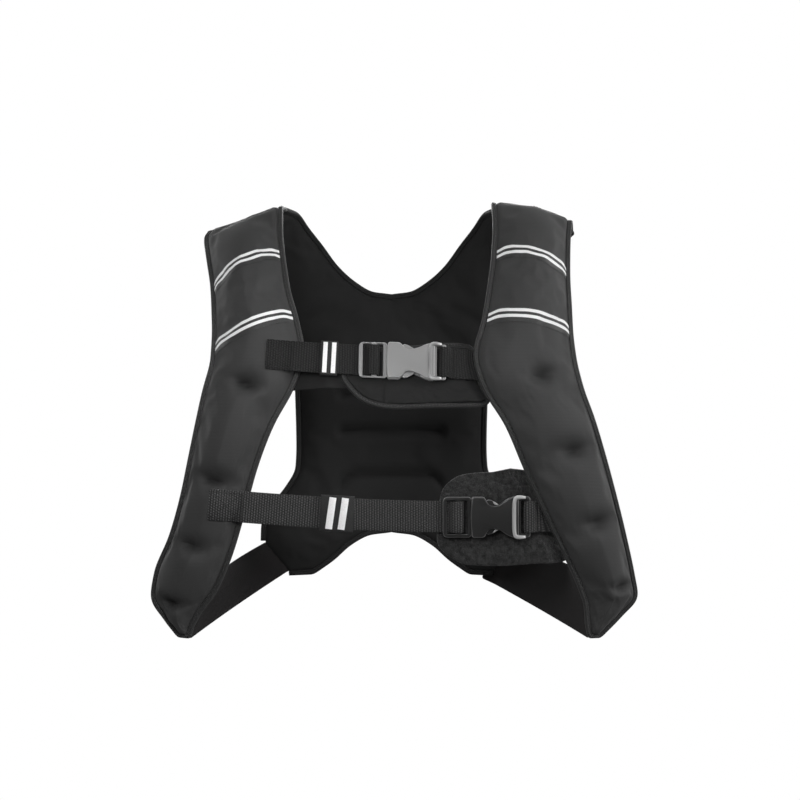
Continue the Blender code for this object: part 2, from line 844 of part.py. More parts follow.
def side_strap(side):
    """Elastic strap from the slanted edge of the back's wing to behind the front panel's inner edge."""
    front = FRONT_SURFACES[side]
    back_rows = frange(STRAP_TOP + 0.4, BACK_SURFACE.last, 4)
    front_rows = frange(*SIDE_STRAP_SECTIONS, 4)
    down_edge = (front.point(front.last, 1.0) - front.point(front.last - 1, 1.0)).normalized()
    lines = []
    for back_row, front_row, low in zip(back_rows, front_rows, frange(0.0, 1.0, 4)):
        rear = BACK_SURFACE.point(back_row, 0.0)
        away = (rear - BACK_SURFACE.point(back_row, 0.2)).normalized()
        rear = rear + away * (cloth_clearance + side_strap_thickness * 0.7)
        rear.x *= SIDES[side]
        rear.z -= STRAP_HANG[side] * vest_height * low ** 4
        normal = front.normal(front_row, 1.0)
        rib = (front.point(front_row, 1.0) - front.point(front_row, 0.0)).normalized()
        behind = binding_thickness / 2 + cloth_clearance + side_strap_thickness / 2
        fore = front.point(front_row, 1.0) + rib * edge_inset / 2 - normal * behind
        fore += down_edge * strap_tip_reach * low ** 2
        bow = Vector((SIDES[side] * side_strap_bow, 0.0, -side_strap_sag)) * (fore - rear).length
        line = []
        for part in frange(0.0, 1.0, 8):
            line.append(rear.lerp(fore, part) + bow * part * (1.0 - part))
        lines.append(line)
    return cloth("side_strap_" + side, lines, side_strap_thickness, ELASTIC)


def chest_tab():
    """Neoprene tab from the left panel's inner edge to behind the chest pad."""
    surface = FRONT_SURFACES["left"]
    pad_rear = pad_front + pad_thickness + clearance + tab_thickness / 2
    behind = binding_thickness / 2 + cloth_clearance + tab_thickness / 2
    edge = CHEST_LINE.frame.inverted() @ surface.point(sum(TAB_SECTIONS) / 2, 1.0)
    lines = []
    for row in frange(*TAB_SECTIONS, 4):
        rib = (surface.point(row, 1.0) - surface.point(row, 0.0)).normalized()
        sewn = surface.point(row, 1.0) - surface.normal(row, 1.0) * behind
        start, free = [sewn + rib * edge_inset * share for share in (0.5, 1.5)]
        level = (CHEST_LINE.frame.inverted() @ free).z
        held, end = [
            CHEST_LINE.frame @ Vector((edge.x + tab_length * share, pad_rear, level))
            for share in (0.5, 1.0)
        ]
        lines.append([start, free, free.lerp(held, 0.5), held, end])
    return cloth("chest_tab", lines, tab_thickness, NEOPRENE)


def shoulder_tape(tape):
    """Reflective ribbon across a front panel."""
    surface = FRONT_SURFACES[tape.side]
    lift = cloth_clearance + tape_thickness / 2
    lines = []
    for across in frange(0.015, 0.985, front_columns):
        row = tape.outer_section + (tape.inner_section - tape.outer_section) * across
        half = tape_width / 2 / surface.along(row, across).length
        lines.append([front_face(surface, tape.side, r, across, lift) for r in frange(row - half, row + half, 2)])
    return cloth("shoulder_tape_" + tape.side + "_" + tape.level, lines, tape_thickness, TAPE)


# Chest and waist straps

tail_lift = webbing_thickness + clearance
buckle_lift = tail_lift + webbing_thickness / 2 + clearance + plug_thickness / 2
pad_front = max(webbing_thickness / 2, socket_thickness / 2 - buckle_lift) + clearance


class StrapLine:
    """The line of a closed strap from the left panel's face to behind the right panel's edge. Its
    frame sits at the buckle's left end: x along the strap, y to the back, z up."""

    def __init__(self, anchor, sag):
        left = FRONT_SURFACES["left"]
        right = FRONT_SURFACES["right"]
        self.anchor = anchor
        self.sag = sag
        lift = cloth_clearance + panel_bulge + webbing_thickness / 2
        self.left = front_face(left, "left", anchor.left_section, anchor.left_across, lift)
        rib = (right.point(anchor.right_section, 1.0) - right.point(anchor.right_section, 0.0)).normalized()
        behind = binding_thickness / 2 + cloth_clearance + webbing_thickness / 2
        right_normal = right.normal(anchor.right_section, 1.0)
        self.right = right.point(anchor.right_section, 1.0) + rib * (edge_inset / 2) - right_normal * behind
        self.length = (self.right - self.left).length

        # The strap leans with the two panels that it joins
        along = (self.right - self.left).normalized()
        back = -(left.normal(anchor.left_section, anchor.left_across) + right_normal)
        self.back = (back - along * back.dot(along)).normalized()
        self.up = along.cross(self.back)
        self.frame = self.frame_at(anchor.buckle_share) @ Matrix.Translation((-buckle_length / 2, 0.0, 0.0))
        self.keeper_x = (anchor.keeper_share - anchor.buckle_share) * self.length + buckle_length / 2

        # The free edge of the right panel's binding and how far back its rear lies, down the strap
        self.edge = []
        for row in frange(anchor.right_section - 1.6, anchor.right_section + 1.6, 16):
            rib = (right.point(row, 1.0) - right.point(row, 0.0)).normalized()
            rear = right.point(row, 1.0) - right.normal(row, 1.0) * (binding_thickness / 2 + cloth_clearance)
            inner, free = [self.frame.inverted() @ (rear + rib * reach) for reach in (0.0, edge_inset)]
            self.edge.append(Vector((free.x, max(inner.y, free.y), free.z)))

    def edge_at(self, level):
        """The right panel's binding at a height in the buckle's frame."""
        for high, low in zip(self.edge, self.edge[1:]):
            if level > low.z:
                break
        return high.lerp(low, min(max((high.z - level) / (high.z - low.z), 0.0), 1.0))

    def at(self, share):
        return self.left.lerp(self.right, share) - self.up * self.sag * math.sin(math.pi * share)

    def frame_at(self, share):
        step = 0.01
        along = (self.at(share + step) - self.at(share - step)).normalized()
        up = along.cross(self.back)
        turn = Matrix((along, self.back, up)).transposed().to_4x4()
        return Matrix.Translation(self.at(share)) @ turn


def drape(tree, point, lift):
    """The depth of a strap laid on a panel in front of which it passes, or None beside the panel."""
    hit = tree.ray_cast(point - Vector((0.0, front_reach, 0.0)), Vector((0.0, 1.0, 0.0)))
    return None if hit[0] is None else hit[0].y - lift


def lock_path():
    """Webbing round the plug's middle bar, in x and y of the buckle's frame: behind the bars, up
    through the far slot, over the middle bar and back down through the near slot."""
    front = -buckle_lift - plug_thickness / 2 - clearance - webbing_thickness / 2 - clearance / 2
    turn_x = MIDDLE_BAR[1] - 0.001
    turn_radius = -front / 2
    path = [(MIDDLE_BAR[0] - 0.003, 0.0)]
    for part in frange(0.0, 1.0, 6):
        angle = math.pi * (0.5 - part)
        path.append((turn_x + 0.0036 * math.cos(angle), front / 2 + turn_radius * math.sin(angle)))
    drop = front + tail_lift
    path.append((MIDDLE_BAR[0] - 0.0004, front))
    for back, share in ((0.0018, 0.90), (0.0029, 0.66), (0.0040, 0.38), (0.0052, 0.14), (0.0068, 0.02)):
        path.append((MIDDLE_BAR[0] - back, -tail_lift + drop * share))
    path.append((OUTER_BAR[1] + 0.0010, -tail_lift))
    return path


def main_strap(name, line, sewn_length):
    """Webbing from its sewn end on the left panel to the plug, round its bar and back to the keeper."""
    lift = cloth_clearance + panel_bulge + webbing_thickness / 2
    start = (line.frame.inverted() @ line.left).x
    rise = webbing_width / 2
    rows = []
    # The sewn stretch and the free span
    places = frange(-sewn_length, sewn_blend, 5) + frange(sewn_blend, -start - span_end, 7)[1:]
    for place in places:
        centre = line.at(place / line.length)
        up = line.frame_at(max(place, 0.0) / line.length).to_3x3() @ Vector((0.0, 0.0, 1.0))
        row = []
        for level in (-rise, 0.0, rise):
            point = centre + up * level
            depth = drape(LEFT_TREE, point, lift)
            if depth is not None:
                free = soft_step(place / sewn_blend)
                point.y = min(depth, depth + (point.y - depth) * free)
            row.append(point)
        rows.append(row)
    # Round the bar and back
    tail_end = line.keeper_x
    tail = [(x, -tail_lift) for x in frange(OUTER_BAR[0] - span_end, tail_end, 3)]
    for x, depth in lock_path() + tail:
        drop = line.at(line.anchor.buckle_share + (x - buckle_length / 2) / line.length)
        level = (line.frame.inverted() @ drop).z if x < 0.0 else 0.0
        rows.append([line.frame @ Vector((x, depth, level + across)) for across in (-rise, 0.0, rise)])
    return cloth(name, rows, webbing_thickness, WEBBING)


def strap_end(name, line):
    """Webbing from behind the right panel's edge, folded round the socket's end bar."""
    bar_centre = (END_BAR[0] + END_BAR[1]) / 2 - 0.0008
    corner = math.hypot(bar_centre - END_BAR[0], loop_thickness / 2)
    radius = corner + clearance + webbing_thickness / 2
    front = -buckle_lift - radius
    path = [(END_BAR[1] + 0.0012, front)]
    for part in frange(0.0, 1.0, 8):
        angle = math.pi * (0.5 + part)
        path.append((bar_centre + radius * math.cos(angle), -buckle_lift - radius * math.sin(angle)))
    path.append((END_BAR[1] + folded_length, -buckle_lift + radius))
    levels = frange(-webbing_width / 2, webbing_width / 2, 2)
    rows = []
    for reach in (edge_inset / 2, -cloth_clearance):
        edges = [line.edge_at(level) for level in levels]
        rows.append([line.frame @ (edge + Vector((reach, webbing_thickness / 2, 0.0))) for edge in edges])
    rows += [[line.frame @ Vector((x, depth, level)) for level in levels] for x, depth in path]
    return cloth(name, rows, webbing_thickness, WEBBING)


Band = namedtuple("Band", "width pitch lean")


def keeper(name, line, length):
    """Elastic sleeve round the two layers of a strap, and two reflective bands on its face."""
    frame = line.frame_at(line.anchor.keeper_share)
    front = -tail_lift - webbing_thickness / 2 - clearance
    back = webbing_thickness / 2 + clearance
    half = webbing_width / 2 + keeper_side_room
    corners = [(front, -half), (back, -half), (back, half), (front, half)]
    turn = rounded(corners, keeper_corner, 2)
    body = bmesh.new()
    ends = []
    for x in (-length / 2, length / 2):
        ends.append([body.verts.new((x, depth, level)) for depth, level in turn])
    for i in range(len(turn)):
        j = (i + 1) % len(turn)
        body.faces.new((ends[0][i], ends[0][j], ends[1][j], ends[1][i]))
    bmesh.ops.recalc_face_normals(body, faces=body.faces)
    mesh = bpy.data.meshes.new(name)
    body.to_mesh(mesh)
    body.free()
    obj = add_object(name, mesh, ELASTIC)
    obj.matrix_world = frame
    wall = obj.modifiers.new("wall", "SOLIDIFY")
    wall.thickness = keeper_wall
    wall.offset = 1.0
    wall.use_even_offset = True
    return front - keeper_wall - clearance


def reflector(name, line, face, band, shift):
    """A reflective band on a keeper's face, as wide as the band says and leaning with it."""
    place = Matrix.Translation((shift, 0.0, 0.0)) @ Matrix.Rotation(band.lean, 4, "Y")
    half = webbing_width / 2
    low = (-band.width / 2, face - band_thickness, -half)
    high = (band.width / 2, face, half)
    obj = block(name, low, high, line.frame_at(line.anchor.keeper_share) @ place, vest)
    obj.data.materials.append(bpy.data.materials.get(REFLECTIVE[0]) or material(*REFLECTIVE))


# Buckles, with x from the plug's left end. Each pair is where a bar begins and ends.
OUTER_BAR = (0.0, 0.0040)
MIDDLE_BAR = (0.0130, 0.0180)
BASE = (0.0245, 0.0287)
BODY = (0.0290, 0.0760)
LOOP = (0.0740, buckle_length)
END_BAR = (0.0840, buckle_length)
arm_outer = 0.0130
arm_inner = 0.0088
cavity_half = 0.0134
cavity_end = 0.0620
window_start = 0.0430
waist_half = 0.0113


def plug(name, line, height):
    """Ladder lock with two sprung arms and a guide tongue."""
    top = height / 2
    upper = [(OUTER_BAR[0], top - 0.003), (OUTER_BAR[0] + 0.001, top - 0.001), (OUTER_BAR[0] + 0.003, top)]
    upper += [(BASE[1] - 0.002, top), (BASE[1], top - 0.002), (BASE[1], arm_outer)]
    upper += [
        (window_start + clearance, arm_outer),
        (window_start + clearance, arm_outer + 0.0035),
        (window_start + 0.0022, arm_outer + 0.0045),
        (window_start + 0.0080, arm_outer + 0.0025),
        (window_start + 0.0135, arm_outer - 0.0010),
        (cavity_end - 0.0020, arm_inner),
        (cavity_end - 0.0060, arm_inner - 0.0008),
        (window_start, arm_inner),
        (BASE[1] + 0.0030, arm_inner),
        (BASE[1] + 0.0010, arm_inner - 0.0030),
        (BASE[1] + 0.0030, 0.0026),
        (cavity_end - 0.0060, 0.0022),
        (cavity_end - 0.0045, 0.0010),
    ]
    slot_half = webbing_width / 2 + slot_side_room
    near_slot = [
        (OUTER_BAR[1], -slot_half), (OUTER_BAR[1], slot_half),
        (MIDDLE_BAR[0], slot_half), (MIDDLE_BAR[0], -slot_half),
    ]
    far_slot = [
        (MIDDLE_BAR[1], -slot_half), (MIDDLE_BAR[1], slot_half),
        (BASE[0], slot_half), (BASE[0], -slot_half),
    ]
    obj = plate(name, [both_halves(upper), near_slot, far_slot], plug_thickness, PLASTIC, line.frame, -buckle_lift)
    return obj


def socket(name, line, height):
    """Waisted body open at its sides for the plug's arms, with a webbing slot at its right end."""
    top = height / 2
    upper = [
        (BODY[0], top - 0.0015),
        (BODY[0] + 0.0015, top),
        (window_start - 0.0010, top),
        (window_start, top - 0.0010),
        (window_start, waist_half + 0.0012),
        (window_start + 0.0035, waist_half + 0.0003),
        (window_start + 0.0070, waist_half),
        (window_start + 0.0110, waist_half + 0.0004),
        (window_start + 0.0145, waist_half + 0.0018),
        (cavity_end, top * 0.80),
        (cavity_end + 0.0045, top * 0.93),
        (cavity_end + 0.0090, top),
        (BODY[1] - 0.0010, top),
        (BODY[1], top - 0.0010),
    ]
    obj = plate(name, [both_halves(upper)], socket_thickness, PLASTIC, line.frame, -buckle_lift)
    edge = obj.modifiers.new("edges", "BEVEL")
    edge.width = 0.0008
    edge.segments = 1
    edge.limit_method = "ANGLE"
    edge.angle_limit = math.radians(60.0)
    half = plug_thickness / 2 + clearance
    mouth = block(
        name + "_mouth", (BODY[0] - 0.002, -buckle_lift - half, -cavity_half),
        (cavity_end, -buckle_lift + half, cavity_half), line.frame, cutters,
    )
    combine(obj, mouth, "DIFFERENCE")
    half = loop_thickness / 2
    ends = block(
        name + "_loop", (LOOP[0], -buckle_lift - half, -top + 0.0002),
        (LOOP[1], -buckle_lift + half, top - 0.0002), line.frame, cutters,
    )
    combine(obj, ends, "UNION")
    slot_half = webbing_width / 2 + slot_side_room
    slot = block(
        name + "_slot", (BODY[1] + 0.0025, -buckle_lift - socket_thickness, -slot_half),
        (END_BAR[0], -buckle_lift + socket_thickness, slot_half), line.frame, cutters,
    )
    combine(obj, slot, "DIFFERENCE")
    return obj


# Pads behind the buckles

def pad_outline(points, length, height, shift):
    """A pad's outline in x and z of the buckle's frame."""
    left = buckle_length / 2 - length / 2 + shift.x
    foot = -height / 2 + shift.z
    corners = [(left + point.along * length, foot + point.up * height) for point in points]
    return smooth_outline(corners, 2)


def fold_behind_edge(obj, line, outline):
    """Turn a flat pad back along a line beside the right panel's edge, so that it slips behind the
    edge's binding."""
    levels = [z for x, z in outline]
    edges = [line.edge_at(level) for level in frange(max(levels), min(levels), 8)]
    run = edges[0] - edges[-1]
    across = Vector((run.z, 0.0, -run.x)).normalized()
    start = min(across.dot(edge) for edge in edges) - fold_reach
    behind = webbing_thickness + cloth_clearance - pad_front
    slopes = [(edge.y + behind) / (across.dot(edge) - cloth_clearance - start) for edge in edges]
    slope = max(max(slopes), 0.0)
    body = bmesh.new()
    body.from_mesh(obj.data)
    geometry = body.verts[:] + body.edges[:] + body.faces[:]
    bmesh.ops.bisect_plane(body, geom=geometry, plane_co=across * start, plane_no=across)
    for vert in body.verts:
        vert.co.y += max(across.dot(vert.co) - start, 0.0) * slope
    body.to_mesh(obj.data)
    body.free()


def pad(name, line, outline, whole, look):
    """A pad of one outline, folded as the whole pad with its binding is."""
    depth = pad_front + pad_thickness / 2
    obj = plate(name, [outline], pad_thickness, look, line.frame, depth)
    fold_behind_edge(obj, line, whole)
    edge = obj.modifiers.new("edges", "BEVEL")
    edge.width = pad_edge_round
    edge.segments = 1
    edge.limit_method = "ANGLE"
    edge.angle_limit = math.radians(60.0)
    return obj


FRONT_SURFACES = {side: front_panel_surface(side) for side in SIDES}
BACK_SURFACE = back_panel_surface()

front_objects = {}
for side, surface in FRONT_SURFACES.items():
    front_objects[side] = (front_panel(side, surface), front_binding(side, surface))
BACK_SHEET = back_sheet(BACK_SURFACE)
back_panel(BACK_SHEET)
back_bindings(BACK_SHEET)
for side in SIDES:
    side_strap(side)
for tape in TAPES:
    shoulder_tape(tape)

left_points, left_faces = [], []
for obj in front_objects["left"]:
    first = len(left_points)
    left_points += [vert.co.copy() for vert in obj.data.vertices]
    left_faces += [[first + index for index in face.vertices] for face in obj.data.polygons]
LEFT_TREE = BVHTree.FromPolygons(left_points, left_faces)

CHEST_LINE = StrapLine(CHEST, chest_sag)
WAIST_LINE = StrapLine(WAIST, waist_sag)
CHEST_BAND = Band(chest_band_width, chest_band_pitch, 0.0)
WAIST_BAND = Band(waist_band_width, waist_band_pitch, waist_band_lean)
for place, line, sewn_length, keeper_length, band, height in (
    ("chest", CHEST_LINE, chest_sewn_length, chest_keeper_length, CHEST_BAND, chest_buckle_height),
    ("waist", WAIST_LINE, waist_sewn_length, waist_keeper_length, WAIST_BAND, waist_buckle_height),
):
    main_strap(place + "_strap", line, sewn_length)
    strap_end(place + "_strap_end", line)
    face = keeper(place + "_keeper", line, keeper_length)
    for number, turn in ((1, -1), (2, 1)):
        reflector(place + "_reflector_" + str(number), line, face, band, turn * band.pitch / 2)
    plug(place + "_buckle_plug", line, height)
    socket(place + "_buckle_socket", line, height)

chest_outline = pad_outline(CHEST_PAD, chest_pad_length, chest_pad_height, chest_pad_shift)
chest_rim = inset(chest_outline, pad_binding_width)
pad("chest_pad", CHEST_LINE, inset(chest_rim, clearance), chest_outline, NEOPRENE)
rim = plate(
    "chest_pad_binding", [chest_outline, chest_rim],
    pad_thickness, BINDING, CHEST_LINE.frame, pad_front + pad_thickness / 2,
)
fold_behind_edge(rim, CHEST_LINE, chest_outline)
waist_outline = pad_outline(WAIST_PAD, waist_pad_length, waist_pad_height, waist_pad_shift)
pad("waist_pad", WAIST_LINE, waist_outline, waist_outline, LOOP_PILE)
chest_tab()
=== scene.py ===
"""Looks of the weighted vest: neoprene covers, binding, webbing, buckles and their finish.

Units are metres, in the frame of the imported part. The sizes and tables up to the surfaces repeat the
part's own, so that each piece lies where its solid does.
"""
import math
from collections import namedtuple

import bmesh
import bpy
import numpy as np
from mathutils import Matrix, Vector, noise
from mathutils.bvhtree import BVHTree


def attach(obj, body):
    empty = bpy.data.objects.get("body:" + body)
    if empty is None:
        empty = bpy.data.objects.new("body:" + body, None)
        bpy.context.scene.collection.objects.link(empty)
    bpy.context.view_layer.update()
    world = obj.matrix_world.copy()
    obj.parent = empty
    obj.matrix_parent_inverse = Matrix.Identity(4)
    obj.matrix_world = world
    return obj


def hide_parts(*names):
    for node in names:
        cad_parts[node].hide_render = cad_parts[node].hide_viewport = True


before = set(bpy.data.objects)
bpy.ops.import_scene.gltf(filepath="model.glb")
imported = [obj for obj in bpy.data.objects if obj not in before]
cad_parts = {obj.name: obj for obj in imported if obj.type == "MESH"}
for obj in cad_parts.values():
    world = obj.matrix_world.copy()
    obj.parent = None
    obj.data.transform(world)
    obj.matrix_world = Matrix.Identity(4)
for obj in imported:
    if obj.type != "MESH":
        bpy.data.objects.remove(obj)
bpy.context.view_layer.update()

# Whole vest
vest_width = 0.504
vest_height = 0.450
front_reach = 0.116
back_reach = 0.112
front_wrap = 0.050
back_wrap = 0.050

# Filled panels
front_fill = 0.024
back_fill = 0.018
front_roll = 0.040
back_roll = 0.026
front_crown = 0.004
front_rise = 0.75
rim_thickness = 0.004
dent_depth = 0.007
dent_length = 0.013
dent_height = 0.009
channel_depth = 0.70
channel_length = 0.120
channel_level = 0.036
channel_drop = 0.018
channel_height = 0.007

# Edge binding
binding_width = 0.0046
binding_thickness = 0.0050

# Straps and tapes
webbing_width = 0.032
webbing_thickness = 0.0015
side_strap_thickness = 0.0020
side_strap_bow = 0.10
side_strap_sag = 0.04
strap_tip_reach = 0.0075
tape_width = 0.015
tape_thickness = 0.0007
tab_thickness = 0.0025
tab_length = 0.060
waist_sag = 0.0045
chest_sag = 0.0020
chest_sewn_length = 0.013
waist_sewn_length = 0.021
folded_length = 0.010
sewn_blend = 0.015
span_end = 0.004

# Buckles
buckle_length = 0.088
chest_buckle_height = 0.037
waist_buckle_height = 0.041
plug_thickness = 0.0030
socket_thickness = 0.0100
loop_thickness = 0.0032
slot_side_room = 0.0008

# Pads
pad_thickness = 0.0040
chest_pad_length = 0.153
chest_pad_height = 0.074
waist_pad_length = 0.132
waist_pad_height = 0.096
pad_binding_width = 0.0050
fold_reach = 0.014

# Room between pieces
clearance = 0.0003
cloth_clearance = 0.0005
panel_bulge = 0.0006
seam_gap = 0.0006
seam_allowance = 0.003

half_width = vest_width / 2
SIDES = {"left": -1, "right": 1}
tiny = 1e-12
weld = 1e-6

# Front panels: each row is one section from the outer to the inner finished edge.
# Widths are shares of half_width from the middle, downs are shares of vest_height below the origin.
Section = namedtuple("Section", "outer outer_down inner inner_down")
FRONT_SECTIONS = {
    "left": (
        (0.754, 0.067, 0.425, 0.013), (0.766, 0.086, 0.440, 0.010), (0.746, 0.140, 0.435, 0.071),
        (0.726, 0.200, 0.419, 0.138), (0.718, 0.256, 0.397, 0.207), (0.714, 0.307, 0.361, 0.276),
        (0.718, 0.362, 0.337, 0.351), (0.750, 0.436, 0.375, 0.420), (0.776, 0.502, 0.458, 0.507),
        (0.808, 0.587, 0.524, 0.604), (0.841, 0.673, 0.571, 0.698), (0.887, 0.760, 0.625, 0.798),
        (0.948, 0.840, 0.688, 0.880), (0.963, 0.893, 0.748, 0.926), (0.914, 0.938, 0.786, 0.966),
        (0.850, 0.983, 0.800, 0.994),
    ),
    "right": (
        (0.754, 0.067, 0.425, 0.013), (0.748, 0.045, 0.413, 0.003), (0.734, 0.102, 0.417, 0.056),
        (0.730, 0.178, 0.409, 0.133), (0.734, 0.240, 0.391, 0.204), (0.738, 0.300, 0.369, 0.276),
        (0.750, 0.360, 0.335, 0.353), (0.778, 0.427, 0.369, 0.422), (0.821, 0.493, 0.460, 0.507),
        (0.865, 0.573, 0.532, 0.602), (0.911, 0.667, 0.611, 0.700), (0.952, 0.758, 0.692, 0.796),
        (0.988, 0.849, 0.758, 0.878), (1.000, 0.891, 0.780, 0.918), (0.941, 0.931, 0.786, 0.958),
        (0.846, 0.982, 0.798, 0.994),
    ),
}
FRONT_SECTIONS = {side: [Section(*row) for row in rows] for side, rows in FRONT_SECTIONS.items()}

# How each front section lies: fore is a share of front_reach towards -Y, wrap a share of
# front_wrap and full a share of front_fill.
Lie = namedtuple("Lie", "fore wrap full")
FRONT_LIE = [Lie(*row) for row in (
    (-0.16, 0.35, 0.18), (0.00, 0.40, 0.25), (0.33, 0.50, 0.70), (0.53, 0.60, 0.92), (0.68, 0.70, 1.00),
    (0.79, 0.78, 1.00), (0.88, 0.85, 1.00), (0.95, 0.90, 1.00), (0.99, 0.95, 1.00), (1.00, 1.00, 1.00),
    (0.99, 1.00, 1.00), (0.96, 1.00, 1.00), (0.92, 1.00, 0.95), (0.90, 1.00, 0.85), (0.88, 1.00, 0.65),
    (0.87, 1.00, 0.40),
)]

# Dents in the front panels: section is a place in the table above, across a share of its width, and
# size a share of dent_length and of dent_height.
Dent = namedtuple("Dent", "section across size")
FRONT_DENTS = {
    "left": (Dent(6.9, 0.48, 1.2), Dent(9.4, 0.46, 1.2), Dent(11.0, 0.42, 1.0), Dent(13.0, 0.45, 1.0)),
    "right": (Dent(6.7, 0.40, 1.0), Dent(8.8, 0.40, 1.2), Dent(10.5, 0.42, 1.1), Dent(12.2, 0.36, 0.7)),
}

# Back panel, right half: each row is one section from the outer edge to the neck edge, the middle
# line or the hem. aft is a share of back_reach towards +Y, full a share of back_fill.
BackSection = namedtuple("BackSection", "outer outer_down inner inner_down aft full")
BACK_SECTIONS = [BackSection(*row) for row in (
    (0.754, 0.067, 0.425, 0.013, 0.17, 0.25), (0.702, 0.093, 0.402, 0.024, 0.52, 0.45),
    (0.631, 0.138, 0.357, 0.058, 0.68, 0.75), (0.567, 0.187, 0.302, 0.097, 0.79, 0.95),
    (0.512, 0.231, 0.240, 0.144, 0.86, 1.00), (0.461, 0.271, 0.168, 0.181, 0.91, 1.00),
    (0.427, 0.307, 0.084, 0.208, 0.95, 1.00), (0.404, 0.340, 0.000, 0.216, 0.98, 1.00),
    (0.393, 0.373, 0.000, 0.270, 1.00, 1.00), (0.389, 0.409, 0.000, 0.327, 1.00, 1.00),
    (0.387, 0.444, 0.000, 0.384, 1.00, 1.00), (0.385, 0.480, 0.000, 0.442, 1.00, 1.00),
    (0.383, 0.520, 0.000, 0.498, 1.00, 1.00), (0.382, 0.564, 0.000, 0.556, 1.00, 1.00),
    (0.386, 0.614, 0.000, 0.610, 0.99, 1.00), (0.436, 0.668, 0.000, 0.662, 0.98, 1.00),
    (0.510, 0.718, 0.000, 0.714, 0.96, 1.00), (0.529, 0.755, 0.000, 0.753, 0.95, 1.00),
    (0.530, 0.785, 0.095, 0.762, 0.94, 0.95), (0.504, 0.809, 0.183, 0.788, 0.93, 0.85),
    (0.467, 0.833, 0.254, 0.823, 0.92, 0.70), (0.432, 0.856, 0.333, 0.854, 0.91, 0.50),
)]
NECK_LOW = 7
HEM_TOP = 17
STRAP_TOP = 18

# Sewn channels across the back: down is a share of vest_height below the origin. Past channel_level
# from the middle, a channel turns down by bend times channel_drop.
Channel = namedtuple("Channel", "down bend")
CHANNELS = (Channel(0.440, 0.0), Channel(0.529, 0.0), Channel(0.629, 1.0))

# Reflective tapes: places in the section table at the tape's outer and inner end
Tape = namedtuple("Tape", "side level outer_section inner_section")
TAPES = (
    Tape("left", "upper", 3.07, 2.72),
    Tape("left", "lower", 5.53, 4.77),
    Tape("right", "upper", 2.84, 2.84),
    Tape("right", "lower", 4.95, 4.86),
)

# Where the straps leave the panels: a place in the section table and a share across it
Anchor = namedtuple("Anchor", "left_section left_across right_section buckle_share keeper_share")
CHEST = Anchor(6.14, 0.80, 6.25, 0.626, 0.255)
WAIST = Anchor(9.95, 0.85, 10.15, 0.810, 0.339)

# Where the side straps meet the front panels' inner edges, and the tab meets the left one
SIDE_STRAP_SECTIONS = (11.3, 14.8)
TAB_SECTIONS = (5.7, 7.15)

# How far below the wing's foot each side strap's rear corner hangs, as a share of vest_height
STRAP_HANG = {"left": 0.0, "right": 0.031}

# Pad outlines seen from the front, from the pad's upper left corner round to its lower left.
# along is a share of the pad's length from its left end, up a share of its height from its foot.
PadPoint = namedtuple("PadPoint", "along up")
CHEST_PAD = [PadPoint(*row) for row in (
    (0.092, 0.838), (0.480, 0.905), (0.876, 1.000), (0.905, 0.640), (0.965, 0.360), (1.000, 0.215),
    (0.955, 0.090), (0.820, 0.052), (0.608, 0.034), (0.399, 0.000), (0.248, 0.014), (0.131, 0.108),
    (0.052, 0.270), (0.000, 0.432), (0.020, 0.660),
)]
WAIST_PAD = [PadPoint(*row) for row in (
    (0.030, 0.760), (0.075, 0.865), (0.159, 0.948), (0.265, 0.979), (0.425, 0.990), (0.700, 1.000),
    (0.900, 0.500), (1.000, 0.120), (0.960, 0.030), (0.780, 0.026), (0.507, 0.000), (0.273, 0.010),
    (0.197, 0.021), (0.114, 0.083), (0.038, 0.167), (0.000, 0.260), (0.000, 0.500),
)]
chest_pad_shift = Vector((0.0145, 0.0, -0.0115))
waist_pad_shift = Vector((0.0165, 0.0, -0.0020))


# Shape helpers

def eased(values, place):
    """The value at a fractional place in a list, on a smooth curve that never overshoots an entry."""
    last = len(values) - 1
    start = min(max(int(place), 0), last - 1)
    part = place - start
    steps = [values[i + 1] - values[i] for i in range(last)]

    def slope(i):
        if i == 0:
            return steps[0]
        if i == last:
            return steps[-1]
        before, after = steps[i - 1], steps[i]
        if before * after <= 0.0:
            return 0.0
        return 2.0 * before * after / (before + after)

    square, cube = part ** 2, part ** 3
    return (
        values[start] * (2.0 * cube - 3.0 * square + 1.0)
        + slope(start) * (cube - 2.0 * square + part)
        + values[start + 1] * (3.0 * square - 2.0 * cube)
        + slope(start + 1) * (cube - square)
    )


def soft_step(value):
    """0 below 0, 1 above 1 and a smooth rise between."""
    held = min(max(value, 0.0), 1.0)
    return held * held * (3.0 - 2.0 * held)


def soft_steps(values):
    """soft_step for an array."""
    held = np.clip(values, 0.0, 1.0)
    return held * held * (3.0 - 2.0 * held)


def stretch_distance(points, starts, alongs):
    """Distances from one point to many straight stretches, or from many points to one."""
    away = points - starts
    share = (away * alongs).sum(axis=-1) / np.maximum((alongs ** 2).sum(axis=-1), tiny)
    return np.linalg.norm(away - alongs * np.clip(share, 0.0, 1.0)[:, None], axis=-1)


def line_distances(places, corners):
    """Distances from many places to a line through corners."""
    corners = np.array(corners)
    stretches = [stretch_distance(places, near, far - near) for near, far in zip(corners, corners[1:])]
    return np.min(stretches, axis=0)


def frange(start, end, steps):
    """Evenly spaced values from start to end, both among them."""
    return [start + (end - start) * i / steps for i in range(steps + 1)]


def rounded(corners, radius, steps=3):
    """A closed outline with each corner of a polygon rounded."""
    outline = []
    count = len(corners)
    for i, corner in enumerate(corners):
        here = Vector(corner)
        back = Vector(corners[i - 1]) - here
        ahead = Vector(corners[(i + 1) % count]) - here
        reach = min(radius, back.length * 0.45, ahead.length * 0.45)
        start = here + back.normalized() * reach
        end = here + ahead.normalized() * reach
        for part in frange(0.0, 1.0, steps):
            bend = start * (1 - part) ** 2 + here * 2 * part * (1 - part) + end * part ** 2
            outline.append(tuple(bend))
    return outline


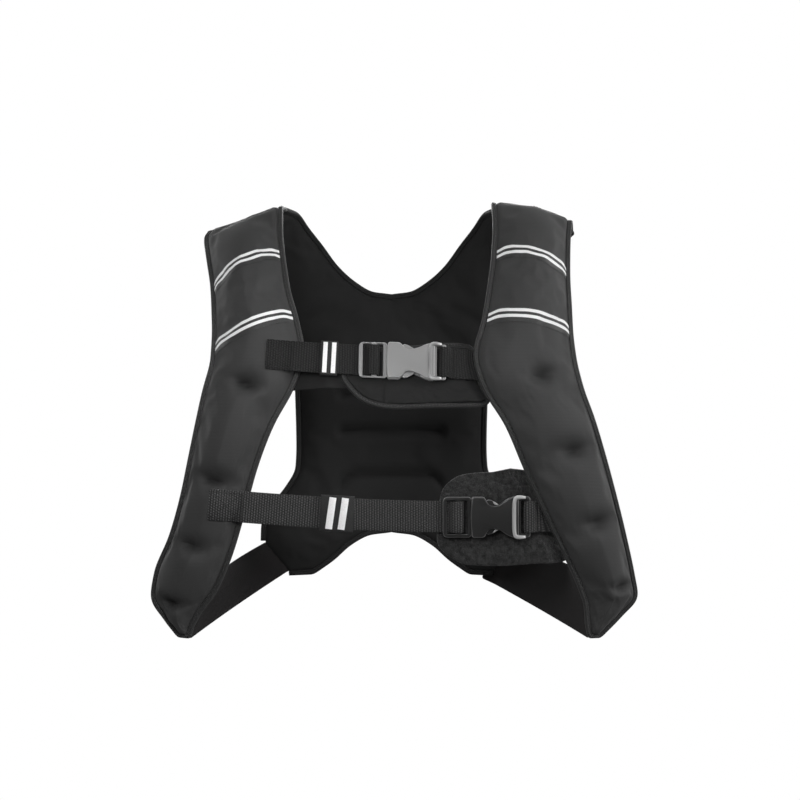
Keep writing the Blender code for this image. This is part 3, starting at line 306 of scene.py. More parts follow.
def both_halves(upper):
    """A closed outline from its upper half, mirrored in z."""
    return list(upper) + [(x, -z) for x, z in reversed(upper) if z > 0.0]


def smooth_outline(points, steps):
    """A closed Catmull-Rom curve through a few points."""
    outline = []
    count = len(points)
    for i in range(count):
        before, here, after, beyond = (Vector(points[(i + k) % count]) for k in (-1, 0, 1, 2))
        for step in range(steps):
            part = step / steps
            square, cube = part ** 2, part ** 3
            outline.append(tuple(0.5 * (
                here * 2.0
                + (after - before) * part
                + (before * 2.0 - here * 5.0 + after * 4.0 - beyond) * square
                + (here * 3.0 - before - after * 3.0 + beyond) * cube
            )))
    return outline


def inset(outline, distance):
    """A closed outline moved inwards by a distance."""
    afters = outline[1:] + outline[:1]
    area = sum(here[0] * after[1] - after[0] * here[1] for here, after in zip(outline, afters))
    turn = 1.0 if area > 0.0 else -1.0
    moved = []
    for i, after in enumerate(afters):
        here = Vector(outline[i])
        back = (here - Vector(outline[i - 1])).normalized()
        ahead = (Vector(after) - here).normalized()
        inwards = (Vector((-back.y, back.x)) + Vector((-ahead.y, ahead.x))) * turn
        inwards.normalize()
        lean = max(inwards.dot(Vector((-back.y, back.x)) * turn), 0.5)
        moved.append(tuple(here + inwards * distance / lean))
    return moved


# Panel surfaces

slope_step = 0.25


class Panel:
    """A surface between an outer and an inner edge, each a smooth curve through its section ends, with
    a filling that thins towards the sewn edges. A bow rounds it between the edges."""

    def __init__(self, outer, inner, full, facing, bow=0.0):
        self.outer = outer
        self.inner = inner
        self.full = full
        self.facing = facing
        self.bow = bow
        self.last = len(outer) - 1
        self.borders = []
        self.stretches = None
        self.known = {}

    def end(self, points, row):
        """Where an edge lies at a row."""
        key = (points is self.outer, row)
        if key not in self.known:
            self.known[key] = Vector(eased([point[axis] for point in points], row) for axis in range(3))
        return self.known[key]

    def point(self, row, across):
        """A point of the surface: across is 0 on the outer edge and 1 on the inner one."""
        outer, inner = self.end(self.outer, row), self.end(self.inner, row)
        bulge = self.bow * ((outer.x - inner.x) / half_width) ** 2 * across * (1.0 - across)
        return outer.lerp(inner, across) + Vector((0.0, bulge * soft_step(row), 0.0))

    def rib(self, row):
        """The way across the panel at a row, from its outer to its inner edge."""
        return (self.point(row, 1.0) - self.point(row, 0.0)).normalized()

    def along(self, row, across):
        """The step of one section down the panel."""
        low, high = max(row - slope_step, 0.0), min(row + slope_step, self.last)
        return (self.point(high, across) - self.point(low, across)) / (high - low)

    def normal(self, row, across):
        """Square to the surface, and at the shoulder seam square to the seam's level too."""
        rib = self.point(row, 1.0) - self.point(row, 0.0)
        along = self.along(row, across)
        level = Vector((0.0, math.copysign(along.length, along.y), 0.0))
        return (rib.cross(level.lerp(along, min(2.0 * row, 1.0))) * self.facing).normalized()

    def border_distance(self, point):
        """How far a point lies from the panel's sewn edges."""
        if self.stretches is None:
            pairs = [pair for border in self.borders for pair in zip(border, border[1:])]
            starts, ends = (np.array(points) for points in zip(*pairs))
            self.stretches = starts, ends - starts
        return float(stretch_distance(np.array(point), *self.stretches).min())


def front_ends(side, row):
    """The finished outer and inner edge of a front panel at a section of its table."""
    section = FRONT_SECTIONS[side][row]
    lie = FRONT_LIE[row]
    ends = []
    for across, down in ((section.outer, section.outer_down), (section.inner, section.inner_down)):
        depth = lie.wrap * front_wrap * across ** 2 - lie.fore * front_reach
        ends.append(Vector((SIDES[side] * across * half_width, depth, -down * vest_height)))
    return ends


edge_inset = binding_width + clearance
border_steps = 4


def front_panel_surface(side):
    """The fabric between the bindings of a front panel."""
    outer, inner = [], []
    for row in range(len(FRONT_LIE)):
        finished = front_ends(side, row)
        rib = (finished[1] - finished[0]).normalized()
        outer.append(finished[0] + rib * edge_inset)
        inner.append(finished[1] - rib * edge_inset)
    for edge in (outer, inner):
        lift = (edge[-2] - edge[-1]).normalized()
        edge[-1] += lift * edge_inset
    surface = Panel(outer, inner, [lie.full for lie in FRONT_LIE], SIDES[side])
    rows = frange(0, surface.last, surface.last * border_steps)
    outer_edge = [surface.point(row, 0.0) for row in rows]
    inner_edge = [surface.point(row, 1.0) for row in rows]
    surface.borders = [outer_edge + inner_edge[::-1]]
    return surface


def front_middle(surface, row, across):
    """A point midway between a front panel's faces."""
    crown = front_crown * soft_step(row / 2.0) * (1.0 - (2.0 * across - 1.0) ** 2)
    return surface.point(row, across) + surface.normal(row, across) * crown


def front_thickness(surface, row, across):
    """How thick a front panel is filled, down to its sewn rim."""
    place = surface.point(row, across)
    roll = min(surface.border_distance(place) / front_roll, 1.0)
    full = max(front_fill * eased(surface.full, row) - rim_thickness, 0.0)
    return rim_thickness + full * (1.0 - (1.0 - roll) ** 2)


def dent_offsets(surface, side, row, across):
    """Each dent with the way to a place from its centre, and how much of it is across the panel."""
    place = surface.point(row, across)
    for dent in FRONT_DENTS[side]:
        offset = place - surface.point(dent.section, dent.across)
        rib = surface.rib(dent.section)
        yield dent, offset, rib, offset.dot(rib)


def dent_at(surface, side, row, across):
    """How far the dents press the outer face in at a place."""
    deep = 0.0
    for dent, offset, rib, sideways in dent_offsets(surface, side, row, across):
        level = (offset - rib * sideways).length
        spread = (sideways / (dent_length * dent.size)) ** 2 + (level / (dent_height * dent.size)) ** 2
        deep += dent_depth * dent.size * math.exp(-spread)
    return deep


def front_face(surface, side, row, across, lift=0.0):
    """A point on the outer face of a front panel, or lifted off it."""
    thick = front_thickness(surface, row, across) * front_rise - dent_at(surface, side, row, across)
    return front_middle(surface, row, across) + surface.normal(row, across) * (thick + lift)


# Back panel

def back_panel_surface():
    """The right half of the back, from the shoulder seam to the lower wing."""
    outer, inner = [], []
    for row, section in enumerate(BACK_SECTIONS):
        for edge, across, down in (
            (outer, section.outer, section.outer_down),
            (inner, section.inner, section.inner_down),
        ):
            depth = section.aft * back_reach - back_wrap * across ** 2
            edge.append(Vector((across * half_width, depth, -down * vest_height)))
    seam = FRONT_SURFACES["right"]
    for edge, across in ((outer, 0.0), (inner, 1.0)):
        edge[0] = seam.point(0, across) + Vector((0.0, seam_gap, 0.0))
    surface = Panel(outer, inner, [section.full for section in BACK_SECTIONS], -1, back_wrap)
    surface.borders = [
        [surface.point(row, 0.0) for row in frange(0, surface.last, surface.last)],
        [surface.point(row, 1.0) for row in frange(0, NECK_LOW, NECK_LOW)],
        [surface.point(row, 1.0) for row in frange(HEM_TOP, surface.last, surface.last - HEM_TOP)],
    ]
    surface.borders.append([surface.borders[0][-1], surface.borders[2][-1]])
    return surface


def channel_offsets(place):
    """For each sewn channel, how far above its line a place of the back lies, and the share of the
    channel's depth that is left there near its ends."""
    for channel in CHANNELS:
        turned = max(abs(place.x) - channel_level, 0.0) / (channel_length / 2 - channel_level)
        line = -channel.down * vest_height - channel.bend * channel_drop * turned ** 2
        yield place.z - line, soft_step((channel_length / 2 - abs(place.x)) / channel_height)


def back_fullness(surface, row, across):
    """The share of back_fill at a place, less over the sewn channels."""
    place = surface.point(row, across)
    roll = min(surface.border_distance(place) / back_roll, 1.0)
    rim = rim_thickness / back_fill
    share = rim + (eased(surface.full, row) - rim) * (1.0 - (1.0 - roll) ** 2)
    for above, reach in channel_offsets(place):
        share -= (share - rim) * channel_depth * reach * math.exp(-(above / channel_height) ** 2)
    return max(share, rim)


tail_lift = webbing_thickness + clearance
buckle_lift = tail_lift + webbing_thickness / 2 + clearance + plug_thickness / 2
pad_front = max(webbing_thickness / 2, socket_thickness / 2 - buckle_lift) + clearance
edge_span = 1.6
share_step = 0.01


class StrapLine:
    """The line of a closed strap from the left panel's face to behind the right panel's edge. Its
    frame sits at the buckle's left end: x along the strap, y to the back, z up."""

    def __init__(self, anchor, sag):
        left = FRONT_SURFACES["left"]
        right = FRONT_SURFACES["right"]
        self.anchor = anchor
        self.sag = sag
        lift = cloth_clearance + panel_bulge + webbing_thickness / 2
        self.left = front_face(left, "left", anchor.left_section, anchor.left_across, lift)
        rib = right.rib(anchor.right_section)
        behind = binding_thickness / 2 + cloth_clearance + webbing_thickness / 2
        right_normal = right.normal(anchor.right_section, 1.0)
        self.right = right.point(anchor.right_section, 1.0) + rib * (edge_inset / 2)
        self.right -= right_normal * behind
        self.length = (self.right - self.left).length

        # The strap leans with the two panels that it joins
        along = (self.right - self.left).normalized()
        back = -(left.normal(anchor.left_section, anchor.left_across) + right_normal)
        self.back = (back - along * back.dot(along)).normalized()
        self.up = along.cross(self.back)
        half_back = Matrix.Translation((-buckle_length / 2, 0.0, 0.0))
        self.frame = self.frame_at(anchor.buckle_share) @ half_back
        self.keeper_x = (anchor.keeper_share - anchor.buckle_share) * self.length + buckle_length / 2

        # The free edge of the right panel's binding and how far back its rear lies, down the strap
        self.edge = []
        for row in frange(anchor.right_section - edge_span, anchor.right_section + edge_span, 16):
            rear = right.point(row, 1.0)
            rear -= right.normal(row, 1.0) * (binding_thickness / 2 + cloth_clearance)
            inner, free = [
                self.frame.inverted() @ (rear + right.rib(row) * reach) for reach in (0.0, edge_inset)
            ]
            self.edge.append(Vector((free.x, max(inner.y, free.y), free.z)))

    def edge_at(self, level):
        """The right panel's binding at a height in the buckle's frame."""
        for high, low in zip(self.edge, self.edge[1:]):
            if level > low.z:
                break
        return high.lerp(low, min(max((high.z - level) / (high.z - low.z), 0.0), 1.0))

    def at(self, share):
        """A point of the line, which sags between its ends."""
        return self.left.lerp(self.right, share) - self.up * self.sag * math.sin(math.pi * share)

    def frame_at(self, share):
        """The frame at a share of the line's length."""
        along = (self.at(share + share_step) - self.at(share - share_step)).normalized()
        up = along.cross(self.back)
        turn = Matrix((along, self.back, up)).transposed().to_4x4()
        return Matrix.Translation(self.at(share)) @ turn


# Buckles, with x from the plug's left end. Each pair is where a bar begins and ends.
OUTER_BAR = (0.0, 0.0040)
MIDDLE_BAR = (0.0130, 0.0180)
BASE = (0.0245, 0.0287)
BODY = (0.0290, 0.0760)
LOOP = (0.0740, buckle_length)
END_BAR = (0.0840, buckle_length)
arm_outer = 0.0130
arm_inner = 0.0088
cavity_half = 0.0134
cavity_end = 0.0620
window_start = 0.0430
waist_half = 0.0113


def pad_outline(points, length, height, shift):
    """A pad's outline in x and z of the buckle's frame."""
    left = buckle_length / 2 - length / 2 + shift.x
    foot = -height / 2 + shift.z
    corners = [(left + point.along * length, foot + point.up * height) for point in points]
    return smooth_outline(corners, 2)


# Materials

sheen_roughness = 0.5


class Look:
    """A Principled material and short ways to add nodes to it."""

    def __init__(self, name, roughness, sheen=0.0, specular=0.5):
        self.made = bpy.data.materials.new(name)
        self.made.use_nodes = True
        self.tree = self.made.node_tree
        self.shader = self.tree.nodes["Principled BSDF"]
        for socket, value in (
            ("Roughness", roughness), ("Metallic", 0.0), ("Specular IOR Level", specular),
            ("Sheen Weight", sheen), ("Sheen Roughness", sheen_roughness),
        ):
            self.shader.inputs[socket].default_value = value

    def node(self, kind, *links, **settings):
        """A new node, with its links and its sockets' or its own settings."""
        made = self.tree.nodes.new("ShaderNode" + kind)
        for key, value in settings.items():
            if key in made.inputs:
                made.inputs[key].default_value = value
            else:
                setattr(made, key, value)
        for socket, source in links:
            self.tree.links.new(source, made.inputs[socket])
        return made

    def math(self, operation, first, second=0.0, third=0.0):
        """The result of a math node, from numbers or other nodes' results."""
        made = self.tree.nodes.new("ShaderNodeMath")
        made.operation = operation
        for socket, value in zip(made.inputs, (first, second, third)):
            if isinstance(value, (int, float)):
                socket.default_value = value
            else:
                self.tree.links.new(value, socket)
        return made.outputs[0]

    def place(self):
        """The place on the object, in metres."""
        return self.node("TexCoord").outputs["Object"]

    def weave(self):
        """The two directions of the piece's own map, in metres along and across it."""
        where = self.node("SeparateXYZ", ("Vector", self.node("UVMap", uv_map="weave").outputs["UV"]))
        return where.outputs["X"], where.outputs["Y"]

    def noise(self, scale, detail=2.0):
        """Noise with a scale in cycles to the metre."""
        made = self.node("TexNoise", ("Vector", self.place()), Scale=scale, Detail=detail)
        return made.outputs["Fac"]

    def cells(self, scale):
        """Distance from the middle of each of many small cells."""
        return self.node("TexVoronoi", ("Vector", self.place()), Scale=scale).outputs["Distance"]

    def wave(self, value, pitch):
        """Rises and falls between 0 and 1 once for each pitch."""
        turned = self.math("MULTIPLY", value, 2.0 * math.pi / pitch)
        return self.math("MULTIPLY_ADD", self.math("SINE", turned), 0.5, 0.5)

    def colours(self, factor, low, high, start=0.0, end=1.0):
        """Colours the surface from low, where the factor is start, to high, where it is end."""
        ramp = self.node("ValToRGB", ("Fac", factor))
        for element, position, colour in zip(ramp.color_ramp.elements, (start, end), (low, high)):
            element.position = position
            element.color = (*colour, 1.0)
        self.tree.links.new(ramp.outputs["Color"], self.shader.inputs["Base Color"])

    def rough(self, factor, low, high):
        """Roughness from low, where the factor is 0, to high, where it is 1."""
        made = self.math("MULTIPLY_ADD", factor, high - low, low)
        self.tree.links.new(made, self.shader.inputs["Roughness"])

    def bump(self, height, distance, strength=1.0):
        """Adds relief over any that is there."""
        made = self.node("Bump", ("Height", height), Distance=distance, Strength=strength)
        before = self.shader.inputs["Normal"].links
        if before:
            self.tree.links.new(before[0].from_socket, made.inputs["Normal"])
        self.tree.links.new(made.outputs["Normal"], self.shader.inputs["Normal"])


def grey(level):
    """A neutral colour."""
    return (level, level, level)


# How much of its colour a point loses where painted shade is marked in the dents and along the back's
# channels
painted_shade_strength = 0.80

# Fine scales: the knit's loops across and down, and noise in cycles to the metre
loop_width = 0.0011
loop_height = 0.0014
FUZZ, GRAIN, MOTTLE, CLOUD = 900.0, 1900.0, 14.0, 60.0


def knit(name, level, spread, roughness, sheen):
    """Neoprene faced with fine jersey: a soft mottle, a fine knit and painted shade darkening its
    pressed-in folds.
    """
    look = Look(name, roughness, sheen, specular=0.35)
    mottle = look.noise(MOTTLE, 3.0)
    grain = look.noise(GRAIN, 1.0)
    mixed = look.math("MULTIPLY_ADD", grain, 0.35, look.math("MULTIPLY", mottle, 0.65))
    look.colours(mixed, grey(level * (1.0 - spread)), grey(level * (1.0 + spread)), 0.25, 0.75)
    # Painted shade: the colour is darkened where the attribute marks the dents and the back's channels
    painted_shading = look.node("Attribute", attribute_name="painted_shade").outputs["Fac"]
    shade = look.math("MULTIPLY_ADD", painted_shading, -painted_shade_strength, 1.0)
    colour = look.shader.inputs["Base Color"].links[0].from_socket
    shaded = look.node("VectorMath", ("Vector", colour), ("Scale", shade), operation="SCALE")
    look.tree.links.new(shaded.outputs["Vector"], look.shader.inputs["Base Color"])
    look.rough(mottle, roughness - 0.06, roughness + 0.06)
    where = look.node("SeparateXYZ", ("Vector", look.place()))
    columns = look.wave(where.outputs["X"], loop_width)
    courses = look.wave(where.outputs["Z"], loop_height)
    loops = look.math("MULTIPLY", columns, courses)
    look.bump(look.math("MULTIPLY_ADD", grain, 0.6, loops), 0.00012, 0.7)
    return look.made


# The darkest and the lightest thread of a weave, as shares of its colour
THREAD_SHARES = (0.08, 2.05)


def woven(name, colour, rib, thread, roughness, sheen, relief=0.0006):
    """Webbing or tape: ribs across its length and threads along it, from the piece's own map."""
    look = Look(name, roughness, sheen, specular=0.35)
    along, across = look.weave()
    ribs = look.wave(along, rib)
    number = look.math("FLOOR", look.math("DIVIDE", along, rib))
    shifted = look.math("MULTIPLY_ADD", number, thread / 2, across)
    threads = look.wave(shifted, thread)
    fuzz = look.noise(FUZZ)
    height = look.math("MULTIPLY", ribs, look.math("MULTIPLY_ADD", threads, 0.75, 0.25))
    tone = look.math("MULTIPLY_ADD", fuzz, 0.40, look.math("MULTIPLY", height, 0.75))
    dark, pale = [tuple(channel * share for channel in colour) for share in THREAD_SHARES]
    look.colours(tone, dark, pale, 0.16, 0.80)
    look.rough(fuzz, roughness - 0.08, roughness + 0.08)
    look.bump(height, relief)
    look.bump(fuzz, 0.00015, 0.5)
    return look.made


# Where the ribbon's two stripes lie across it, their half width and the pitch of the ribbon's ribs
STRIPES = (0.0049, -0.0015)
stripe_half = 0.0017
ribbon_pitch = 0.0009


def taped():
    """Grey ribbon with two light reflective stripes, from the piece's own map."""
    look = Look("tape", 0.45, sheen=0.1)
    along, across = look.weave()
    fuzz = look.noise(700.0)
    near, far = [
        look.math("LESS_THAN", look.math("ABSOLUTE", look.math("SUBTRACT", across, centre)), stripe_half)
        for centre in STRIPES
    ]
    stripes = look.math("MAXIMUM", near, far)
    tone = look.math("MULTIPLY_ADD", fuzz, 0.03, look.math("MULTIPLY", stripes, 0.97))
    look.colours(tone, grey(0.012), grey(0.90))
    ribs = look.math("MULTIPLY", look.wave(along, ribbon_pitch), look.wave(across, ribbon_pitch))
    look.bump(look.math("MULTIPLY_ADD", stripes, 0.8, ribs), 0.00018)
    return look.made


def pile():
    """Loop pile: curled loops in small clumps."""
    look = Look("loop_pile", 0.95, sheen=0.25, specular=0.2)
    clumps, loops = look.noise(190.0, 3.0), look.cells(1300.0)
    tone = look.math("MULTIPLY_ADD", clumps, 0.7, look.math("MULTIPLY", loops, 0.5))
    look.colours(tone, grey(0.003), grey(0.042), 0.36, 0.80)
    look.bump(clumps, 0.0022, 0.9)
    look.bump(loops, 0.0005, 0.8)
    return look.made


# Pointiness where an edge starts to get its painted highlight, and where it is fully painted pale
HIGHLIGHT_POINTINESS = (0.528, 0.575)


def moulded(name, level, edge_highlight, roughness):
    """Moulded nylon: a fine spark-eroded grain, uneven gloss and a painted highlight that colours its
    rounded edges pale.
    """
    look = Look(name, roughness)
    cloud = look.noise(CLOUD)
    # Painted highlight: edges found by pointiness are coloured pale
    edges = look.node("NewGeometry").outputs["Pointiness"]
    highlight_mask = look.math("ADD", edges, look.math("MULTIPLY", cloud, 0.012))
    look.colours(highlight_mask, grey(level), grey(edge_highlight), *HIGHLIGHT_POINTINESS)
    look.rough(cloud, roughness - 0.05, roughness + 0.07)
    look.bump(look.noise(2600.0, 1.0), 0.00004, 0.5)
    return look.made


def reflecting():
    """Cloth covered with glass beads."""
    look = Look("reflective", 0.35)
    beads = look.cells(2200.0)
    look.colours(beads, grey(0.95), grey(0.70), 0.2, 0.9)
    look.bump(beads, 0.00006, 0.5)
    return look.made


# Woven looks: level of grey or colour, rib and thread pitch, roughness, sheen and relief
WEAVES = {
    "binding": (grey(0.030), 0.0012, 0.0008, 0.55, 0.08, 0.00012),
    "pad_binding": (grey(0.016), 0.0012, 0.0008, 0.65, 0.05, 0.00012),
    "back_binding": (grey(0.009), 0.0012, 0.0008, 0.70, 0.03, 0.00012),
    "webbing": (grey(0.034), 0.0026, 0.0026, 0.72, 0.06),
    "chest_webbing": (grey(0.0085), 0.0026, 0.0026, 0.75, 0.03),
    "elastic": (grey(0.024), 0.0011, 0.0017, 0.75, 0.04, 0.0002),
    "side_elastic": ((0.0090, 0.0068, 0.0073), 0.0011, 0.0017, 0.80, 0.03, 0.0002),
    "thread": (grey(0.055), 0.0006, 0.0004, 0.55, 0.05, 0.00005),
    "black_thread": (grey(0.012), 0.0006, 0.0004, 0.6, 0.02, 0.00005),
}
LOOKS = {name: woven(name, *sizes) for name, sizes in WEAVES.items()}
LOOKS.update({
    "neoprene": knit("neoprene", level=0.036, spread=0.16, roughness=0.70, sheen=0.12),
    # Painted shade: a darker copy of the neoprene for the chest pad under the buckle and the tab behind
    # it
    "painted_shade_neoprene": knit("painted_shade_neoprene", level=0.0068, spread=0.20, roughness=0.80, sheen=0.04),
    "lining": knit("lining", level=0.0095, spread=0.25, roughness=0.85, sheen=0.05),
    "tape": taped(),
    "reflective": reflecting(),
    "loop_pile": pile(),
    "plastic": moulded("plastic", level=0.013, edge_highlight=0.36, roughness=0.30),
    # Painted sheen: a paler copy of the plastic for the chest buckle, standing in for its glossy
    # reflection
    "sheen_painted_plastic": moulded("sheen_painted_plastic", level=0.21, edge_highlight=0.85, roughness=0.32),
    # Painted highlight: a much paler copy of the plastic for the waist buckle's lip and prong tips
    "highlight_plastic": moulded("highlight_plastic", level=0.38, edge_highlight=0.70, roughness=0.34),
})

# The record's slot of each look that isn't named after one
SLOTS = {
    "pad_binding": "binding", "back_binding": "binding", "thread": "binding", "black_thread": "binding",
    "painted_shade_neoprene": "neoprene", "chest_webbing": "webbing", "side_elastic": "elastic",
    "sheen_painted_plastic": "plastic", "highlight_plastic": "plastic",
}


# Mesh helpers

def add_object(name, data):
    """A new object in the scene."""
    obj = bpy.data.objects.new(name, data)
    bpy.context.scene.collection.objects.link(obj)
    return obj


def piece(name, mesh, look, *nodes, smooth=40.0):
    """A visible piece on the part's one body, in place of the solids it names."""
    mesh.materials.append(LOOKS[look])
    mesh.shade_smooth()
    if smooth:
        mesh.set_sharp_from_angle(angle=math.radians(smooth))
    obj = add_object(name, mesh)
    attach(obj, "root")
    SLOTS.get(look, look)
    if nodes:
        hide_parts(*nodes)
    return obj


def runs(points):
    """How far along a line each of its points lies."""
    lengths = [0.0]
    for near, far in zip(points, points[1:]):
        lengths.append(lengths[-1] + (far - near).length)
    return lengths


def plain_mesh(name, spots, faces):
    """A mesh from points and faces."""
    mesh = bpy.data.meshes.new(name)
    mesh.from_pydata([tuple(spot) for spot in spots], [], faces)
    return mesh


def ring_mesh(name, rings, maps=None):
    """A closed skin through rings of points, with a map in metres where one is given. A ring runs along
    one face and back along the other."""
    count = len(rings[0])
    faces = []
    for i in range(len(rings) - 1):
        for j in range(count):
            k = (j + 1) % count
            faces.append((i * count + j, i * count + k, (i + 1) * count + k, (i + 1) * count + j))
    for first in (0, (len(rings) - 1) * count):
        for j in range(count // 2 - 1):
            faces.append((first + j, first + j + 1, first + count - 2 - j, first + count - 1 - j))
    mesh = plain_mesh(name, [point for ring in rings for point in ring], faces)
    work = bmesh.new()
    work.from_mesh(mesh)
    bmesh.ops.recalc_face_normals(work, faces=work.faces)
    if maps:
        layer = work.loops.layers.uv.new("weave")
        for face in work.faces:
            for loop in face.loops:
                loop[layer].uv = maps[loop.vert.index]
    work.to_mesh(mesh)
    work.free()
    return mesh


def ribbon_mesh(name, rows, thickness):
    """A strip of webbing through rows of points across it, with soft edges and its weave's map."""
    count = len(rows[0])
    rings, maps = [], []
    for i, (row, run) in enumerate(zip(rows, runs([row[count // 2] for row in rows]))):
        before, after = rows[max(i - 1, 0)], rows[min(i + 1, len(rows) - 1)]
        tops, bottoms = [], []
        reaches = runs(row)
        for j, (point, reach) in enumerate(zip(row, reaches)):
            along = after[j] - before[j]
            across = row[min(j + 1, count - 1)] - row[max(j - 1, 0)]
            normal = along.cross(across).normalized()
            share = abs(2.0 * j / (count - 1) - 1.0)
            half = thickness / 2 * math.sqrt(max(1.0 - share ** 10, 0.04))
            where = run, reach - reaches[-1] / 2
            tops.append((point + normal * half, where))
            bottoms.append((point - normal * half, where))
        ring = tops + bottoms[::-1]
        rings.append([point for point, where in ring])
        maps += [where for point, where in ring]
    return ring_mesh(name, rings, maps)


def map_flat(mesh, turn):
    """The weave's map for a flat piece, straight through its own frame."""
    inverse = turn.inverted()
    layer = mesh.uv_layers.new(name="weave")
    for loop in mesh.loops:
        place = inverse @ mesh.vertices[loop.vertex_index].co
        layer.data[loop.index].uv = (place.x, place.z)


def tree_of(*objects):
    """A tree of the surfaces of some objects, to cast rays at."""
    points, faces = [], []
    for obj in objects:
        first = len(points)
        points += [vert.co.copy() for vert in obj.data.vertices]
        faces += [[first + index for index in face.vertices] for face in obj.data.polygons]
    return BVHTree.FromPolygons(points, faces)


# Along a stitch: how far each ring lies from its middle and how thick it is, as shares of half its
# length and of its radius
STITCH = ((-1.0, 0.35), (-0.7, 0.9), (0.7, 0.9), (1.0, 0.35))
stitch_sides = 6
stitch_fill = 0.68
stitch_dip = 0.8


def stitches(name, path, look="thread", pitch=0.0032, radius=0.00030):
    """Short threads lying along a path of (point, normal), half sunk in the fabric."""
    points = [point for point, normal in path]
    run = runs(points)
    spots, faces, maps = [], [], []
    sides = stitch_sides
    at = 0
    for k in range(int(run[-1] / pitch)):
        start, end = k * pitch, k * pitch + pitch * stitch_fill
        middle = (start + end) / 2
        while at < len(run) - 2 and run[at + 1] < middle:
            at += 1
        share = (middle - run[at]) / max(run[at + 1] - run[at], tiny)
        centre = points[at].lerp(points[at + 1], share)
        along = (points[at + 1] - points[at]).normalized()
        normal = path[at][1].lerp(path[at + 1][1], share).normalized()
        side = along.cross(normal).normalized()
        first = len(spots)
        for part, thick in STITCH:
            dip = (1.0 - abs(part)) * radius * stitch_dip
            reach = part * (end - start) / 2
            for turn in range(sides):
                angle = 2.0 * math.pi * turn / sides
                offset = side * math.cos(angle) + normal * math.sin(angle)
                spots.append(centre + along * reach + offset * radius * thick + normal * dip)
                maps.append((reach + k * pitch, radius * angle))
        for ring in range(len(STITCH) - 1):
            for turn in range(sides):
                low = first + ring * sides
                other = (turn + 1) % sides
                faces.append((low + turn, low + other, low + sides + other, low + sides + turn))
        faces.append(tuple(first + turn for turn in reversed(range(sides))))
        faces.append(tuple(len(spots) - sides + turn for turn in range(sides)))
    mesh = plain_mesh(name, spots, faces)
    layer = mesh.uv_layers.new(name="weave")
    for loop in mesh.loops:
        layer.data[loop.index].uv = maps[loop.vertex_index]
    return piece(name, mesh, look, smooth=None)


# The covers' cloth
CLOTH = {
    "quality": 4, "mass": 0.2, "tension_stiffness": 12.0, "compression_stiffness": 12.0,
    "bending_stiffness": 0.6, "vertex_group_mass": "pinned", "use_pressure": True,
}


def inflate(obj, pinned, cap, pressure, grow, frames=14):
    """Cloth simulation of a filled cover: it swells and buckles between its seams, and no point moves
    further than the cap."""
    mesh = obj.data
    rest = read(mesh.vertices, "co")
    group = obj.vertex_groups.new(name="pinned")
    group.add(pinned, 1.0, "REPLACE")
    cover = obj.modifiers.new("cover", "CLOTH")
    settings = cover.settings
    for key, value in CLOTH.items():
        setattr(settings, key, value)
    settings.shrink_min = -grow
    settings.uniform_pressure_force = pressure
    settings.effector_weights.gravity = 0.0
    cover.collision_settings.use_collision = False
    scene = bpy.context.scene
    for step in range(1, frames + 1):
        scene.frame_set(step)
    seen = obj.evaluated_get(bpy.context.evaluated_depsgraph_get())
    moved = read(seen.data.vertices, "co")
    obj.modifiers.remove(cover)
    obj.vertex_groups.clear()
    scene.frame_set(1)
    shift = moved - rest
    far = np.linalg.norm(shift, axis=1, keepdims=True)
    shift *= np.minimum(1.0, cap / np.maximum(far, tiny))
    mesh.vertices.foreach_set("co", (rest + shift).ravel())
    mesh.update()


def read(items, name):
    """An attribute of every vertex, as rows of three numbers."""
    values = np.empty(len(items) * 3)
    items.foreach_get(name, values)
    return values.reshape(-1, 3)


def painted_shade(mesh, values):
    """Marks how much painted shade darkens each point of the fabric's colour."""
    marks = mesh.attributes.new("painted_shade", "FLOAT", "POINT")
    marks.data.foreach_set("value", values)


def finer(obj):
    """The same object with one subdivision."""
    step = obj.modifiers.new("finer", "SUBSURF")
    step.levels = step.render_levels = 1
    return obj


def strip(name, rows, thickness, look, node):
    """A soft strip through rows of points across it."""
    return finer(piece(name, ribbon_mesh(name, rows, thickness), look, node))


def packed_mesh(node, flat=None):
    """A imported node's mesh, welded. Faces that turn by less than the angle flat are joined."""
    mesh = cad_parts[node].data.copy()
    mesh.materials.clear()
    work = bmesh.new()
    work.from_mesh(mesh)
    bmesh.ops.remove_doubles(work, verts=work.verts, dist=weld)
    if flat:
        bmesh.ops.dissolve_limit(work, angle_limit=flat, verts=work.verts, edges=work.edges)
    work.to_mesh(mesh)
    work.free()
    return mesh


def add_line(curve, points):
    """A straight-sided line of a curve."""
    line = curve.splines.new("POLY")
    line.points.add(len(points) - 1)
    for point, place in zip(line.points, points):
        point.co = (*place, 1.0)
    return line


def curve_mesh(curve):
    """A curve's surface as a mesh."""
    holder = add_object(curve.name, curve)
    bpy.context.view_layer.update()
    mesh = bpy.data.meshes.new_from_object(holder.evaluated_get(bpy.context.evaluated_depsgraph_get()))
    bpy.data.objects.remove(holder, do_unlink=True)
    return mesh


# Front panels

# Rows in each section and columns of a cover, and the section of the seam below the shoulder crest
FINE = 7
FRONT_COLUMNS = 36
SHOULDER_SEAM = 1.16

# Unevenness: cycles to the metre and height
UNEVEN = ((22.0, 0.0011), (60.0, 0.00035))
uneven_fade = 0.02


def cover_detail(place, distance):
    """Small unevenness of the filled neoprene, fading to nothing at the sewn edge."""
    soft = sum(noise.noise(place * scale) * height for scale, height in UNEVEN)
    return soft * soft_step(distance / uneven_fade)


# The fold in each dent: its depth, half length and half width, how it curves, and how far it reaches.
# A wider oval round it gets painted shade.
crease_depth = 0.0060
crease_length = 0.0125
crease_width = 0.0038
crease_curve = 6.0
crease_reach = 0.04
shaded_length = 0.0115
shaded_width = 0.0047
CREASE_TILT = {"left": -0.20, "right": -0.12}


